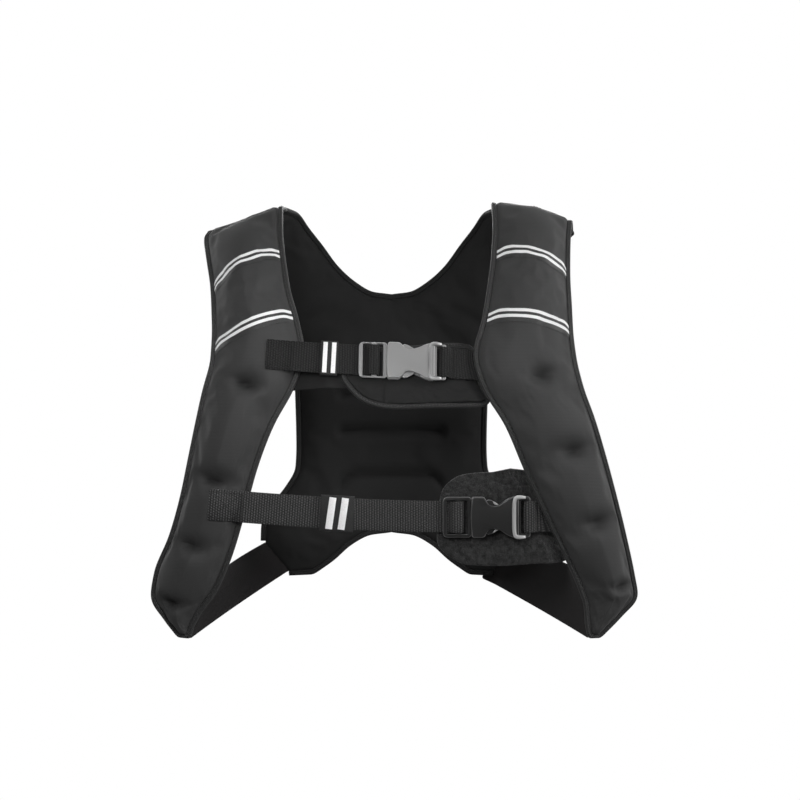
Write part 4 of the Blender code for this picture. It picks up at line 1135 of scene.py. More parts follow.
def crease_at(surface, side, row, across):
    """The sharp fold inside each dent, and the share of painted shade in the darker oval round it."""
    deep = dark = 0.0
    for dent, offset, rib, sideways in dent_offsets(surface, side, row, across):
        if offset.length > crease_reach:
            continue
        level = -offset.z + sideways * CREASE_TILT[side]
        bend = level + crease_curve * sideways ** 2
        fold = math.exp(-(sideways / crease_length) ** 2 - (bend / crease_width) ** 2)
        deep += crease_depth * dent.size * fold
        dark += dent.size * math.exp(-(sideways / shaded_length) ** 2 - (level / shaded_width) ** 2)
    return deep, min(dark, 1.0)


seam_groove = 0.0010
seam_groove_width = 0.0014


def seam_at(surface, row, across):
    """The groove of the stitched seam just below the shoulder crest."""
    apart = (row - SHOULDER_SEAM) * surface.along(row, across).length
    return seam_groove * math.exp(-(apart / seam_groove_width) ** 2)


# The front covers: how far the sewn rim drops and how wide it is, how much deeper than the solid's the
# dents are, and how many sections at each end are sewn
rim_drop = 0.0016
rim_width = 0.0035
dent_gain = 1.10
sewn_end = 0.3
stitch_lift = 0.0001


def fine_front(side):
    """A front panel's cover, from its section table."""
    surface = FRONT_SURFACES[side]
    columns = frange(0.0, 1.0, FRONT_COLUMNS)
    rings = []
    pinned = []
    painted_shading = []
    for row in frange(0, surface.last, surface.last * FINE):
        faces, backs = [], []
        for across in columns:
            place = surface.point(row, across)
            normal = surface.normal(row, across)
            distance = surface.border_distance(place)
            middle = front_middle(surface, row, across)
            thick = front_thickness(surface, row, across)
            rim = rim_drop * (1.0 - soft_step(distance / rim_width))
            crease, dark = crease_at(surface, side, row, across)
            rise = thick * front_rise - rim - dent_at(surface, side, row, across) * dent_gain
            rise += cover_detail(place, distance) - crease
            rise -= seam_at(surface, row, across)
            # Painted shade in the oval round each dent
            painted_shading.append(dark)
            faces.append(middle + normal * rise)
            backs.append(middle - normal * thick * (1.0 - front_rise))
        first = len(rings) * 2 * len(columns)
        edge = (0, 1, FRONT_COLUMNS - 1, FRONT_COLUMNS)
        ends = row < sewn_end or row > surface.last - sewn_end
        for i in range(len(columns)):
            if ends or i in edge:
                pinned += [first + i, first + 2 * len(columns) - 1 - i]
        rings.append(faces + backs[::-1])
        painted_shading += [0.0] * len(columns)
    mesh = ring_mesh("cover_front_" + side, rings)
    painted_shade(mesh, painted_shading)
    obj = piece("cover_front_" + side, mesh, "neoprene", "front_panel_" + side, smooth=60.0)
    inflate(obj, pinned, cap=0.0022, pressure=1.2, grow=0.012)
    tree = tree_of(obj)
    seam = []
    for across in frange(0.03, 0.97, 60):
        normal = surface.normal(SHOULDER_SEAM, across)
        middle = front_middle(surface, SHOULDER_SEAM, across) + normal * front_fill / 2
        seam.append((laid(tree, middle, normal, stitch_lift), normal))
    stitches("shoulder_stitches_" + side, seam)
    return obj


seam_radius = 0.0021
seam_stand = 1.04
piping_sides = 12


def shoulder_seam(side):
    """Piping over the sewn shoulder seam, between the front panel and the back."""
    surface = FRONT_SURFACES[side]
    level = Vector((0.0, seam_gap / 2, 0.0))
    columns = frange(0.0, 1.0, 40)
    spots = [surface.point(0.0, across) + level for across in columns]
    rings, maps = [], []
    for i, (spot, run, across) in enumerate(zip(spots, runs(spots), columns)):
        near, far = spots[max(i - 1, 0)], spots[min(i + 1, len(spots) - 1)]
        along = (far - near).normalized()
        normal = surface.normal(0.0, across)
        tall = max(front_thickness(surface, 0.0, across) / 2, seam_radius) * seam_stand
        ring = []
        for turn in range(piping_sides):
            angle = 2.0 * math.pi * turn / piping_sides
            height = math.cos(angle) * tall
            ring.append(spot + normal * height + along.cross(normal) * math.sin(angle) * seam_radius)
            maps.append((run, angle * seam_radius))
        rings.append(ring)
    obj = piece("shoulder_seam_" + side, ring_mesh("shoulder_seam_" + side, rings, maps), "binding")
    finer(obj)
    return obj


# Binding tape

# The folded tape's upper side: how far out and how far up, as shares of its width and thickness
BEAD = (
    (-0.24, 0.22), (-0.12, 0.36), (0.06, 0.47), (0.22, 0.49), (0.36, 0.40), (0.50, 0.50),
    (0.70, 0.52), (0.88, 0.40), (0.98, 0.20), (1.00, 0.06),
)
# Where the stitches run: shares of the tape's width and thickness. A mitre grows to 1 / mitre_floor.
stitch_groove = 0.36
stitch_height = 0.41
mitre_floor = 0.6


def tape_round(name, path, node, look="binding", thread="thread", thickness=binding_thickness):
    """Folded tape round a fabric edge, which it covers a little, with a line of stitches on each face."""
    upper = [(out * binding_width, up * thickness) for out, up in BEAD]
    last = len(path) - 1
    stations = []
    facing = 0.0
    for i, (edge, inside, normal) in enumerate(path):
        before = edge - path[i - 1][0] if i > 0 else path[1][0] - edge
        after = path[i + 1][0] - edge if i < last else before
        before.normalize()
        after.normalize()
        outwards = (before + after).cross(normal)
        if i in (0, last):
            outwards.y = 0.0
        outwards.normalize()
        facing += outwards.dot((edge - inside).normalized())
        mitre = 1.0 / max(math.sqrt((1.0 + before.dot(after)) / 2.0), mitre_floor)
        stations.append((edge, outwards * mitre, normal))
    rings, maps = [], []
    seams = {"outer": [], "inner": []}
    sign = math.copysign(1.0, facing)
    for run, (edge, outwards, normal) in zip(runs([edge for edge, inside, normal in path]), stations):
        outwards = outwards * sign
        ring = []
        for face, half in ((1.0, upper), (-1.0, upper[::-1])):
            for reach, lift in half:
                ring.append(edge + outwards * (clearance + reach) + normal * lift * face)
                maps.append((run, reach * face))
        rings.append(ring)
        place = edge + outwards * (clearance + binding_width * stitch_groove)
        for seam, face in (("outer", 1.0), ("inner", -1.0)):
            seams[seam].append((place + normal * thickness * stitch_height * face, normal * face))
    obj = piece(name, ring_mesh(name, rings, maps), look, node, smooth=60.0)
    finer(obj)
    for seam, line in seams.items():
        stitches(name + "_stitches_" + seam, line, thread)
    return obj


def fine_front_binding(side):
    """The binding down a front panel's outer edge, round its tip and up the inner edge."""
    surface = FRONT_SURFACES[side]
    last = surface.last
    rows = frange(0, last, last * 5)[:-1]
    inside = 0.25
    places = [(row, 0.0, row, inside) for row in rows]
    for across in frange(0.0, 1.0, 6):
        places.append((last, across, last - inside, 0.5 + (across - 0.5) * inside))
    places += [(row, 1.0, row, 1.0 - inside) for row in reversed(rows)]
    path = []
    for row, across, inner_row, inner_across in places:
        inner = surface.point(inner_row, inner_across)
        path.append((surface.point(row, across), inner, surface.normal(row, across)))
    return tape_round("tape_front_" + side, path, "front_binding_" + side)


# Back

Place = namedtuple("Place", "point normal thickness")
BACK_FINE = 5
BACK_COLUMNS = 24
hem_share = 0.9


def back_sheet(surface):
    """Rows of places on the back's right half, as in the part but finer."""
    level_step = Vector((0.0, seam_allowance, 0.0))
    rows = frange(0, surface.last, surface.last * BACK_FINE)
    lines = [(0, Vector()), (0, level_step)] + [(row, Vector()) for row in rows[1:]]
    columns = frange(0.0, 1.0, BACK_COLUMNS)
    middle = bmesh.new()
    grid = []
    for row, step in lines:
        grid.append([])
        for across in columns:
            point = surface.point(row, across) + step
            point.x = max(point.x, 0.0)
            grid[-1].append(middle.verts.new(point))
    for near, far in zip(grid, grid[1:]):
        for i in range(BACK_COLUMNS):
            middle.faces.new((near[i], near[i + 1], far[i + 1], far[i]))
    middle.normal_update()
    sheet = []
    for (row, step), line in zip(lines, grid):
        places = []
        for across, vert in zip(columns, line):
            by_hem = row >= HEM_TOP and across > hem_share
            normal = (line[BACK_COLUMNS // 2] if by_hem else vert).normal.copy()
            if row == 0:
                square = surface.normal(0, across)
                normal = square * math.copysign(1.0, square.dot(normal))
            if vert.co.x == 0.0:
                normal.x = 0.0
            thickness = back_fill * back_fullness(surface, row, across)
            places.append(Place(vert.co.copy(), normal.normalized(), thickness))
        sheet.append(places)
    middle.free()
    return sheet


# The groove of a channel's stitching
stitched_width = 0.0030
stitched_depth = 0.0022


def channel_line(place):
    """How close a place of the back lies to a channel's sewn line, from 0 to 1."""
    offsets = channel_offsets(place)
    return max(reach * math.exp(-(above / stitched_width) ** 2) for above, reach in offsets)


# The back cover: how far the sewn rim drops, how wide it is and how much of it the cloth keeps still
back_rim_drop = 0.0012
back_rim_width = 0.003
back_held = 0.009


def fine_back(surface, sheet):
    """The back's cover: both faces and the rim of the right half, mirrored."""
    body = bmesh.new()
    marks = body.verts.layers.float.new("painted_shade")
    faces = []
    for side in (1.0, -1.0):
        layer = []
        for places in sheet:
            line = []
            for place in places:
                distance = surface.border_distance(place.point)
                lift = place.thickness / 2 - back_rim_drop * (1.0 - soft_step(distance / back_rim_width))
                sewn = channel_line(place.point)
                lift += cover_detail(place.point, distance) - stitched_depth * sewn
                line.append(body.verts.new(place.point + place.normal * lift * side))
                # Painted shade along each channel's sewn line
                line[-1][marks] = sewn
            layer.append(line)
        faces.append(layer)
    for layer in faces:
        for near, far in zip(layer, layer[1:]):
            for i in range(BACK_COLUMNS):
                body.faces.new((near[i], near[i + 1], far[i + 1], far[i]))
    last = len(sheet) - 1
    neck_end, hem_start = NECK_LOW * BACK_FINE + 1, HEM_TOP * BACK_FINE + 1
    rim = [(0, column) for column in range(BACK_COLUMNS)]
    rim += [(row, BACK_COLUMNS) for row in range(neck_end + 1)]
    hem = [(row, BACK_COLUMNS) for row in range(hem_start, last + 1)]
    hem += [(last, column) for column in reversed(range(BACK_COLUMNS))]
    hem += [(row, 0) for row in reversed(range(last))]
    for border in (rim, hem):
        for (row, column), (next_row, next_column) in zip(border, border[1:]):
            near = [layer[row][column] for layer in faces]
            far = [layer[next_row][next_column] for layer in faces]
            body.faces.new((near[0], far[0], far[1], near[1]))
    mirrored = bmesh.ops.mirror(
        body, geom=body.verts[:] + body.edges[:] + body.faces[:], axis="X", merge_dist=0.00001,
    )
    bmesh.ops.recalc_face_normals(body, faces=body.faces)
    mesh = bpy.data.meshes.new("cover_back")
    body.to_mesh(mesh)
    body.free()
    obj = piece("cover_back", mesh, "lining", "back_panel", smooth=60.0)
    halved = [Vector((abs(vert.co.x), vert.co.y, vert.co.z)) for vert in mesh.vertices]
    held = [i for i, place in enumerate(halved) if surface.border_distance(place) < back_held]
    inflate(obj, held, cap=0.0020, pressure=1.0, grow=0.010)
    return obj


def flipped(path):
    """The same path on the left half."""
    swap = Vector((-1.0, 1.0, 1.0))
    return [tuple(entry * swap for entry in entries) for entries in path]


def fine_back_bindings(sheet):
    """The bindings of the neckline, the armholes and the hem."""
    last = len(sheet) - 1
    neck_end, hem_start, strap_end_row = (end * BACK_FINE + 1 for end in (NECK_LOW, HEM_TOP, STRAP_TOP))
    neck = [(sheet[i][-1], sheet[i][-2].point) for i in range(neck_end + 1)]
    armhole = [(sheet[i][0], sheet[i][1].point) for i in range(strap_end_row + 1)]
    hem = [(sheet[i][-1], sheet[i - 1][-2].point) for i in range(hem_start, last + 1)]
    hem += [(sheet[last][i], sheet[last - 1][i].point) for i in range(BACK_COLUMNS - 4, -1, -4)]
    neck, armhole, hem = (
        [(place.point, inside, place.normal) for place, inside in path] for path in (neck, armhole, hem)
    )
    black = ("back_binding", "black_thread")
    tape_round("tape_neck", flipped(neck[:-1]) + neck[::-1], "neck_binding", *black)
    tape_round("tape_side_right", armhole, "side_binding_right", *black)
    tape_round("tape_side_left", flipped(armhole), "side_binding_left", *black)
    tape_round("tape_hem", flipped(hem[1:])[::-1] + hem, "hem_binding", *black)


# Side straps, tab and reflective tapes

# Steps across a strip, how far a side strap goes under the back, and the share of its hang left there
ACROSS = 8
sewn_under = 0.014
hidden_hang = 0.6


def fine_side_strap(side):
    """The elastic from the back's wing to the front panel's tip."""
    front = FRONT_SURFACES[side]
    back_rows = frange(STRAP_TOP + 0.1, BACK_SURFACE.last, ACROSS)
    front_rows = frange(*SIDE_STRAP_SECTIONS, ACROSS)
    down_edge = (front.point(front.last, 1.0) - front.point(front.last - 1, 1.0)).normalized()
    lines = []
    for back_row, front_row, low in zip(back_rows, front_rows, frange(0.0, 1.0, ACROSS)):
        rear = BACK_SURFACE.point(back_row, 0.0)
        away = (rear - BACK_SURFACE.point(back_row, 0.2)).normalized()
        hidden = rear - away * sewn_under + Vector((0.0, rim_thickness, 0.0))
        rear.x *= SIDES[side]
        hidden.x *= SIDES[side]
        hang = STRAP_HANG[side] * vest_height * low ** 4
        rear.z -= hang
        hidden.z -= hang * hidden_hang
        normal = front.normal(front_row, 1.0)
        rib = front.rib(front_row)
        behind = binding_thickness / 2 + cloth_clearance + side_strap_thickness / 2
        fore = front.point(front_row, 1.0) + rib * edge_inset / 2 - normal * behind
        fore += down_edge * strap_tip_reach * low ** 2
        bow = Vector((SIDES[side] * side_strap_bow, 0.0, -side_strap_sag)) * (fore - rear).length
        line = [hidden.lerp(rear, part) for part in frange(0.0, 1.0, 4)]
        line += [rear.lerp(fore, part) + bow * part * (1.0 - part) for part in frange(0.0, 1.0, 40)[1:]]
        lines.append(line)
    rows = list(zip(*lines))
    obj = strip("elastic_strap_" + side, rows, side_strap_thickness, "side_elastic", "side_strap_" + side)
    declare_strip(obj, rows)
    return obj


def declare_strip(obj, rows):
    """Works out the widths of a strip's rows and the lengths of its lines."""
    widths = [runs(row)[-1] for row in rows]
    lengths = [runs(line)[-1] for line in zip(*rows)]


def fine_tab():
    """The left panel's tab, behind the chest pad."""
    surface = FRONT_SURFACES["left"]
    pad_rear = pad_front + pad_thickness + clearance + tab_thickness / 2
    behind = binding_thickness / 2 + cloth_clearance + tab_thickness / 2
    edge = CHEST_LINE.frame.inverted() @ surface.point(sum(TAB_SECTIONS) / 2, 1.0)
    lines = []
    for row in frange(*TAB_SECTIONS, ACROSS):
        rib = surface.rib(row)
        sewn = surface.point(row, 1.0) - surface.normal(row, 1.0) * behind
        start, free = [sewn + rib * edge_inset * share for share in (0.5, 1.5)]
        level = (CHEST_LINE.frame.inverted() @ free).z
        held, end = [
            CHEST_LINE.frame @ Vector((edge.x + tab_length * share, pad_rear, level))
            for share in (0.5, 1.0)
        ]
        line = [start.lerp(free, part) for part in frange(0.0, 1.0, 2)]
        line += [free.lerp(held, part) for part in frange(0.0, 1.0, 8)[1:]]
        line += [held.lerp(end, part) for part in frange(0.0, 1.0, 6)[1:]]
        lines.append(line)
    return strip("under_tab", list(zip(*lines)), tab_thickness, "painted_shade_neoprene", "chest_tab")


# Where a ray starts above a cover, and how far it looks
ray_start = 0.012
ray_length = 0.03
lying = 0.0002


def laid(tree, point, normal, lift):
    """A point dropped on a surface along its normal, then lifted off it."""
    hit = tree.ray_cast(point + normal * ray_start, -normal, ray_length)[0]
    return (hit if hit else point) + normal * lift


# How far the reflective tapes turn down at their ends, in sections, and over which shares of their length
tape_drop = 0.10
outer_turn = 0.05
inner_turn = 0.07
tape_margin = 0.006


def fine_tape(tape, tree):
    """A reflective tape laid on a front cover."""
    surface = FRONT_SURFACES[tape.side]
    rows = []
    for across in frange(tape_margin, 1.0 - tape_margin, 64):
        row = tape.outer_section + (tape.inner_section - tape.outer_section) * across
        turns = math.exp(-(across / outer_turn) ** 2) + math.exp(-((1.0 - across) / inner_turn) ** 2)
        row += tape_drop * turns
        half = tape_width / 2 / surface.along(row, across).length
        line = []
        for share in frange(-1.0, 1.0, ACROSS):
            level = row - half * share
            point = front_face(surface, tape.side, level, across)
            line.append(laid(tree, point, surface.normal(level, across), tape_thickness / 2 + lying))
        rows.append(line)
    name = "reflective_tape_" + tape.side + "_" + tape.level
    node = "shoulder_tape_" + tape.side + "_" + tape.level
    return piece(name, ribbon_mesh(name, rows, tape_thickness), "tape", node)


# Chest and waist straps

def in_front(tree, point):
    """The depth of the surface that shows at a point, seen from the front."""
    hit = tree.ray_cast(point - Vector((0.0, front_reach, 0.0)), Vector((0.0, 1.0, 0.0)))[0]
    return None if hit is None else hit.y


# The webbing's way through a plug: how far it starts before the middle bar, turns inside that bar's
# end and bulges past the turn, then how far before the bar it starts back, falls on the way and
# reaches beside the outer bar
lock_lead = 0.003
lock_turn = 0.001
lock_bulge = 0.0036
lock_return = 0.0004
lock_fall_start = 0.0006
lock_fall = 0.0064
lock_end = 0.0010


def fine_lock_path():
    """The webbing's way round the plug's middle bar, in x and depth."""
    front = -buckle_lift - plug_thickness / 2 - clearance - webbing_thickness / 2 - clearance / 2
    turn_x = MIDDLE_BAR[1] - lock_turn
    path = [(MIDDLE_BAR[0] - lock_lead, 0.0)]
    for part in frange(0.0, 1.0, 14):
        angle = math.pi * (0.5 - part)
        path.append((turn_x + lock_bulge * math.cos(angle), front / 2 * (1.0 - math.sin(angle))))
    drop = front + tail_lift
    path.append((MIDDLE_BAR[0] - lock_return, front))
    for back in frange(0.0, 1.0, 12)[1:]:
        share = 0.5 + 0.5 * math.cos(math.pi * soft_step(back))
        path.append((MIDDLE_BAR[0] - lock_fall_start - lock_fall * back, -tail_lift + drop * share))
    path.append((OUTER_BAR[1] + lock_end, -tail_lift))
    return path


def fine_strap(name, line, sewn_length, tree, look, node):
    """A strap from the left panel through the plug, with its tail back over the keeper."""
    lift = webbing_thickness / 2 + lying
    start = (line.frame.inverted() @ line.left).x
    levels = frange(-webbing_width / 2, webbing_width / 2, ACROSS)
    rows = []
    places = frange(-sewn_length, sewn_blend, 16) + frange(sewn_blend, -start - span_end, 40)[1:]
    for place in places:
        centre = line.at(place / line.length)
        up = line.frame_at(max(place, 0.0) / line.length).to_3x3() @ Vector((0.0, 0.0, 1.0))
        row = []
        for level in levels:
            point = centre + up * level
            depth = in_front(tree, point)
            if depth is not None:
                depth -= lift
                free = soft_step(place / sewn_blend)
                point.y = min(depth, depth + (point.y - depth) * free)
            row.append(point)
        rows.append(row)
    tail = [(x, -tail_lift) for x in frange(OUTER_BAR[0] - span_end, line.keeper_x, 16)]
    for x, depth in fine_lock_path() + tail:
        drop = line.at(line.anchor.buckle_share + (x - buckle_length / 2) / line.length)
        middle = (line.frame.inverted() @ drop).z if x < 0.0 else 0.0
        rows.append([line.frame @ Vector((x, depth, middle + level)) for level in levels])
    obj = strip(name, rows, webbing_thickness, look, node)
    box_stitch(name + "_box", rows, 16)
    return obj


def on_strip(rows, along, across):
    """A point and the normal of a strip's front face, at fractional places in its rows."""
    i, j = min(int(along), len(rows) - 2), min(int(across), len(rows[0]) - 2)
    near = rows[i][j].lerp(rows[i][j + 1], across - j)
    far = rows[i + 1][j].lerp(rows[i + 1][j + 1], across - j)
    normal = (far - near).cross(rows[i][j + 1] - rows[i][j]).normalized()
    if normal.y > 0.0:
        normal.negate()
    return near.lerp(far, along - i) + normal * webbing_thickness / 2, normal


box_margin = 0.8


def box_stitch(name, rows, last):
    """A sewn box with a cross in it, over the first rows of a strap."""
    low, high = box_margin, ACROSS - box_margin
    start, end = box_margin, last - 1.0
    corners = [(start, low), (end, low), (end, high), (start, high), (start, low)]
    corners += [(end, high), (end, low), (start, high)]
    path = []
    for (i, j), (k, m) in zip(corners, corners[1:]):
        path += [on_strip(rows, i + (k - i) * part, j + (m - j) * part) for part in frange(0.0, 1.0, 12)]
    stitches(name, path, "black_thread", pitch=0.0026, radius=0.00028)


# The end that is folded over the socket's bar: how far the fold sits towards the buckle, how far its
# flap reaches past the bar, where it leaves the round, and how far in front of the other layer it lies
fold_shift = 0.0008
FLAP = (0.0068, 0.0052)
flap_knee = 0.0028
flap_start = 0.0006
knee_share = 0.45
flap_layers = 1.05


def fine_strap_end(name, line, look, node):
    """The short end from the right panel round the socket's bar."""
    bar_centre = (END_BAR[0] + END_BAR[1]) / 2 - fold_shift
    corner = math.hypot(bar_centre - END_BAR[0], loop_thickness / 2)
    radius = corner + clearance + webbing_thickness / 2
    flap = -buckle_lift + radius - webbing_thickness * flap_layers
    path = [(END_BAR[1] + reach, flap) for reach in FLAP]
    path.append((END_BAR[1] + flap_knee, -buckle_lift - radius * knee_share))
    path.append((END_BAR[1] + flap_start, -buckle_lift - radius))
    for part in frange(0.0, 1.0, 16):
        angle = math.pi * (0.5 + part)
        path.append((bar_centre + radius * math.cos(angle), -buckle_lift - radius * math.sin(angle)))
    path.append((END_BAR[1] + folded_length, -buckle_lift + radius))
    levels = frange(-webbing_width / 2, webbing_width / 2, ACROSS)
    edges = [line.edge_at(level) for level in levels]
    rows = []
    for reach in (edge_inset / 2, -cloth_clearance):
        step = Vector((reach, webbing_thickness / 2, 0.0))
        rows.append([line.frame @ (edge + step) for edge in edges])
    folded = [[line.frame @ Vector((x, depth, level)) for level in levels] for x, depth in path[::-1]]
    for share in frange(0.0, 1.0, 8)[1:-1]:
        rows.append([near.lerp(far, share) for near, far in zip(rows[1], folded[0])])
    rows += folded
    return strip(name, rows, webbing_thickness, look, node)


# Buckles and keepers

def slab(outlines, thickness, depth, edge):
    """A flat part with rounded edges, from closed outlines in x and z; the later ones are holes."""
    curve = bpy.data.curves.new("slab", "CURVE")
    curve.dimensions = "2D"
    curve.fill_mode = "BOTH"
    curve.extrude = thickness / 2 - edge
    curve.bevel_depth = edge
    curve.bevel_resolution = 3
    curve.offset = -edge
    for outline in outlines:
        add_line(curve, [(x, z, 0.0) for x, z in outline]).use_cyclic_u = True
    mesh = curve_mesh(curve)
    mesh.transform(Matrix.Translation((0.0, depth, 0.0)) @ Matrix.Rotation(math.pi / 2, 4, "X"))
    return mesh


def joined(name, meshes, turn):
    """Several slabs as one mesh, turned into place."""
    body = bmesh.new()
    for mesh in meshes:
        body.from_mesh(mesh)
        bpy.data.meshes.remove(mesh)
    bmesh.ops.remove_doubles(body, verts=body.verts, dist=weld)
    bmesh.ops.recalc_face_normals(body, faces=body.faces)
    body.transform(turn)
    mesh = bpy.data.meshes.new(name)
    body.to_mesh(mesh)
    body.free()
    mesh.materials.clear()
    return mesh


bar_edge = 0.0009
shell_edge = 0.0012
core_edge = 0.0002


def fine_plug(name, line, height, look, node):
    """The plug's bars and its two prongs."""
    top = height / 2
    upper = [
        (OUTER_BAR[0], top - 0.004),
        (OUTER_BAR[0] + 0.0012, top - 0.0012),
        (OUTER_BAR[0] + 0.004, top),
        (BASE[1] - 0.002, top),
        (BASE[1], top - 0.002),
        (BASE[1], arm_outer),
        (window_start + clearance, arm_outer),
        (window_start + 0.0006, arm_outer + 0.0035),
        (window_start + 0.0026, arm_outer + 0.0047),
        (window_start + 0.0060, arm_outer + 0.0040),
        (window_start + 0.0100, arm_outer + 0.0018),
        (window_start + 0.0145, arm_outer - 0.0012),
        (cavity_end - 0.0020, arm_inner),
        (cavity_end - 0.0060, arm_inner - 0.0008),
        (window_start, arm_inner),
        (BASE[1] + 0.0030, arm_inner),
        (BASE[1] + 0.0010, arm_inner - 0.0030),
        (BASE[1] + 0.0030, 0.0026),
        (cavity_end - 0.0060, 0.0022),
        (cavity_end - 0.0045, 0.0010),
    ]
    half = webbing_width / 2 + slot_side_room
    holes = []
    for left, right in ((OUTER_BAR[1], MIDDLE_BAR[0]), (MIDDLE_BAR[1], BASE[0])):
        holes.append(rounded([(left, -half), (left, half), (right, half), (right, -half)], 0.0010, 4))
    outline = rounded(both_halves(upper), 0.0012, 3)
    part = slab([outline] + holes, plug_thickness, -buckle_lift, bar_edge)
    return piece(name, joined(name, [part], line.frame), look, node, smooth=50.0)


def fine_socket(name, line, height, look, node):
    """Two shells with a core and walls between them, and the webbing loop with its slot."""
    top = height / 2
    upper = [
        (BODY[0] - 0.0012, 0.0),
        (BODY[0] - 0.0009, top * 0.5),
        (BODY[0], top - 0.0012),
        (BODY[0] + 0.0015, top),
        (window_start - 0.0030, top),
        (window_start - 0.0008, top - 0.0012),
        (window_start + 0.0012, waist_half + 0.0040),
        (window_start + 0.0035, waist_half + 0.0012),
        (window_start + 0.0070, waist_half),
        (window_start + 0.0105, waist_half + 0.0004),
        (window_start + 0.0145, waist_half + 0.0018),
        (cavity_end, top * 0.80),
        (cavity_end + 0.0045, top * 0.93),
        (cavity_end + 0.0090, top),
        (BODY[1] - 0.0010, top),
        (BODY[1], top - 0.0010),
    ]
    outline = rounded(both_halves(upper), 0.0014, 3)
    gap = plug_thickness / 2 + clearance
    shell = socket_thickness / 2 - gap
    middle = gap + shell / 2
    parts = [slab([outline], shell, -buckle_lift + side * middle, shell_edge) for side in (-1, 1)]
    core = [(x, z) for x, z in both_halves(upper) if x >= cavity_end]
    parts.append(slab([core], 2 * gap, -buckle_lift, core_edge))
    for side in (-1, 1):
        wall = [
            (BODY[0] + 0.0004, side * cavity_half), (BODY[0] + 0.0004, side * (top - 0.0006)),
            (window_start - 0.0012, side * (top - 0.0006)), (window_start - 0.0012, side * cavity_half),
        ]
        parts.append(slab([wall[::side]], 2 * gap, -buckle_lift, core_edge))
    half = webbing_width / 2 + slot_side_room
    slot_start = BODY[1] + 0.0025
    loop = rounded([(LOOP[0], -top), (LOOP[0], top), (LOOP[1], top), (LOOP[1], -top)], 0.0030, 5)
    slot = [(slot_start, -half), (slot_start, half), (END_BAR[0], half), (END_BAR[0], -half)]
    slot = rounded(slot, 0.0008, 3)
    parts.append(slab([loop, slot], loop_thickness, -buckle_lift, bar_edge))
    return piece(name, joined(name, parts, line.frame), look, node, smooth=50.0)


tip_thickness = 0.0008
tip_edge = 0.0003


def fine_tips(name, line, look):
    """Slopes at the ends of the two prongs, coloured pale as a painted highlight."""
    tip = [
        (window_start + 0.0072, arm_outer + 0.0032), (window_start + 0.0138, arm_outer - 0.0008),
        (window_start + 0.0100, arm_outer - 0.0006), (window_start + 0.0084, arm_outer + 0.0004),
    ]
    depth = -buckle_lift - plug_thickness / 2
    sides = [[(x, side * z) for x, z in tip[::side]] for side in (-1, 1)]
    parts = [slab([outline], tip_thickness, depth, tip_edge) for outline in sides]
    return piece(name, joined(name, parts, line.frame), look)


# The lip: its radius, the share of it that is sunk, how far it lies inside the body's top and end, its
# ends' share of the radius, and its hook from the end inwards
lip_radius = 0.0024
lip_sunk = 0.35
lip_below = 0.0012
lip_inside = 0.0046
lip_taper = 0.55
LIP_HOOK = ((0.0118, 0.0004), (0.0060, 0.0010), (0.0016, 0.0004), (0.0, -0.0024))


def fine_lip(name, line, height, look):
    """The rounded rib that ends the body beside the webbing slot, hooked over at both ends."""
    top = height / 2 - lip_below
    front = -buckle_lift - socket_thickness / 2 + lip_radius * lip_sunk
    start = BODY[1] - lip_inside
    hook = [(start + x, top + z) for x, z in LIP_HOOK]
    path = hook + [(start, 0.0)] + [(x, -z) for x, z in reversed(hook)]
    curve = bpy.data.curves.new(name, "CURVE")
    curve.dimensions = "3D"
    curve.bevel_depth = lip_radius
    curve.bevel_resolution = 4
    curve.use_fill_caps = True
    points = add_line(curve, [(x, front, z) for x, z in path]).points
    for i, point in enumerate(points):
        point.radius = lip_taper if i in (0, len(path) - 1) else 1.0
    return finer(piece(name, joined(name, [curve_mesh(curve)], line.frame), look, smooth=60.0))


def refined(name, look, node, line, width=0.0006, segments=3):
    """A packed flat piece with its edges rounded and its weave mapped."""
    mesh = packed_mesh(node, flat=math.radians(2.0))
    while mesh.uv_layers:
        mesh.uv_layers.remove(mesh.uv_layers[0])
    map_flat(mesh, line.frame_at(line.anchor.keeper_share))
    obj = piece(name, mesh, look, node, smooth=None)
    edge = obj.modifiers.new("edges", "BEVEL")
    edge.width = width
    edge.segments = segments
    edge.limit_method = "ANGLE"
    edge.angle_limit = math.radians(35.0)
    edge.harden_normals = True
    return obj


# Pads

def behind_edge(line, outline):
    """How far back a pad is turned at a place, so that it slips behind the right panel's edge."""
    levels = [z for x, z in outline]
    edges = [line.edge_at(level) for level in frange(max(levels), min(levels), 8)]
    run = edges[0] - edges[-1]
    across = Vector((run.z, 0.0, -run.x)).normalized()
    start = min(across.dot(edge) for edge in edges) - fold_reach
    behind = webbing_thickness + cloth_clearance - pad_front
    slopes = [(edge.y + behind) / (across.dot(edge) - cloth_clearance - start) for edge in edges]
    slope = max(max(slopes), 0.0)
    return lambda x, z: max(across.dot(Vector((x, 0.0, z))) - start, 0.0) * slope


# The pads: their mesh's size, how far beside the webbing and from the rim they start to swell and over
# how much they do, how squarely a face must look forwards, and how much of the rim the cloth keeps still
pad_voxel = 0.0011
swell_room = 0.003
swell_fade = 0.010
swell_rim = 0.014
facing_gain = 1.5
pad_held = 0.004


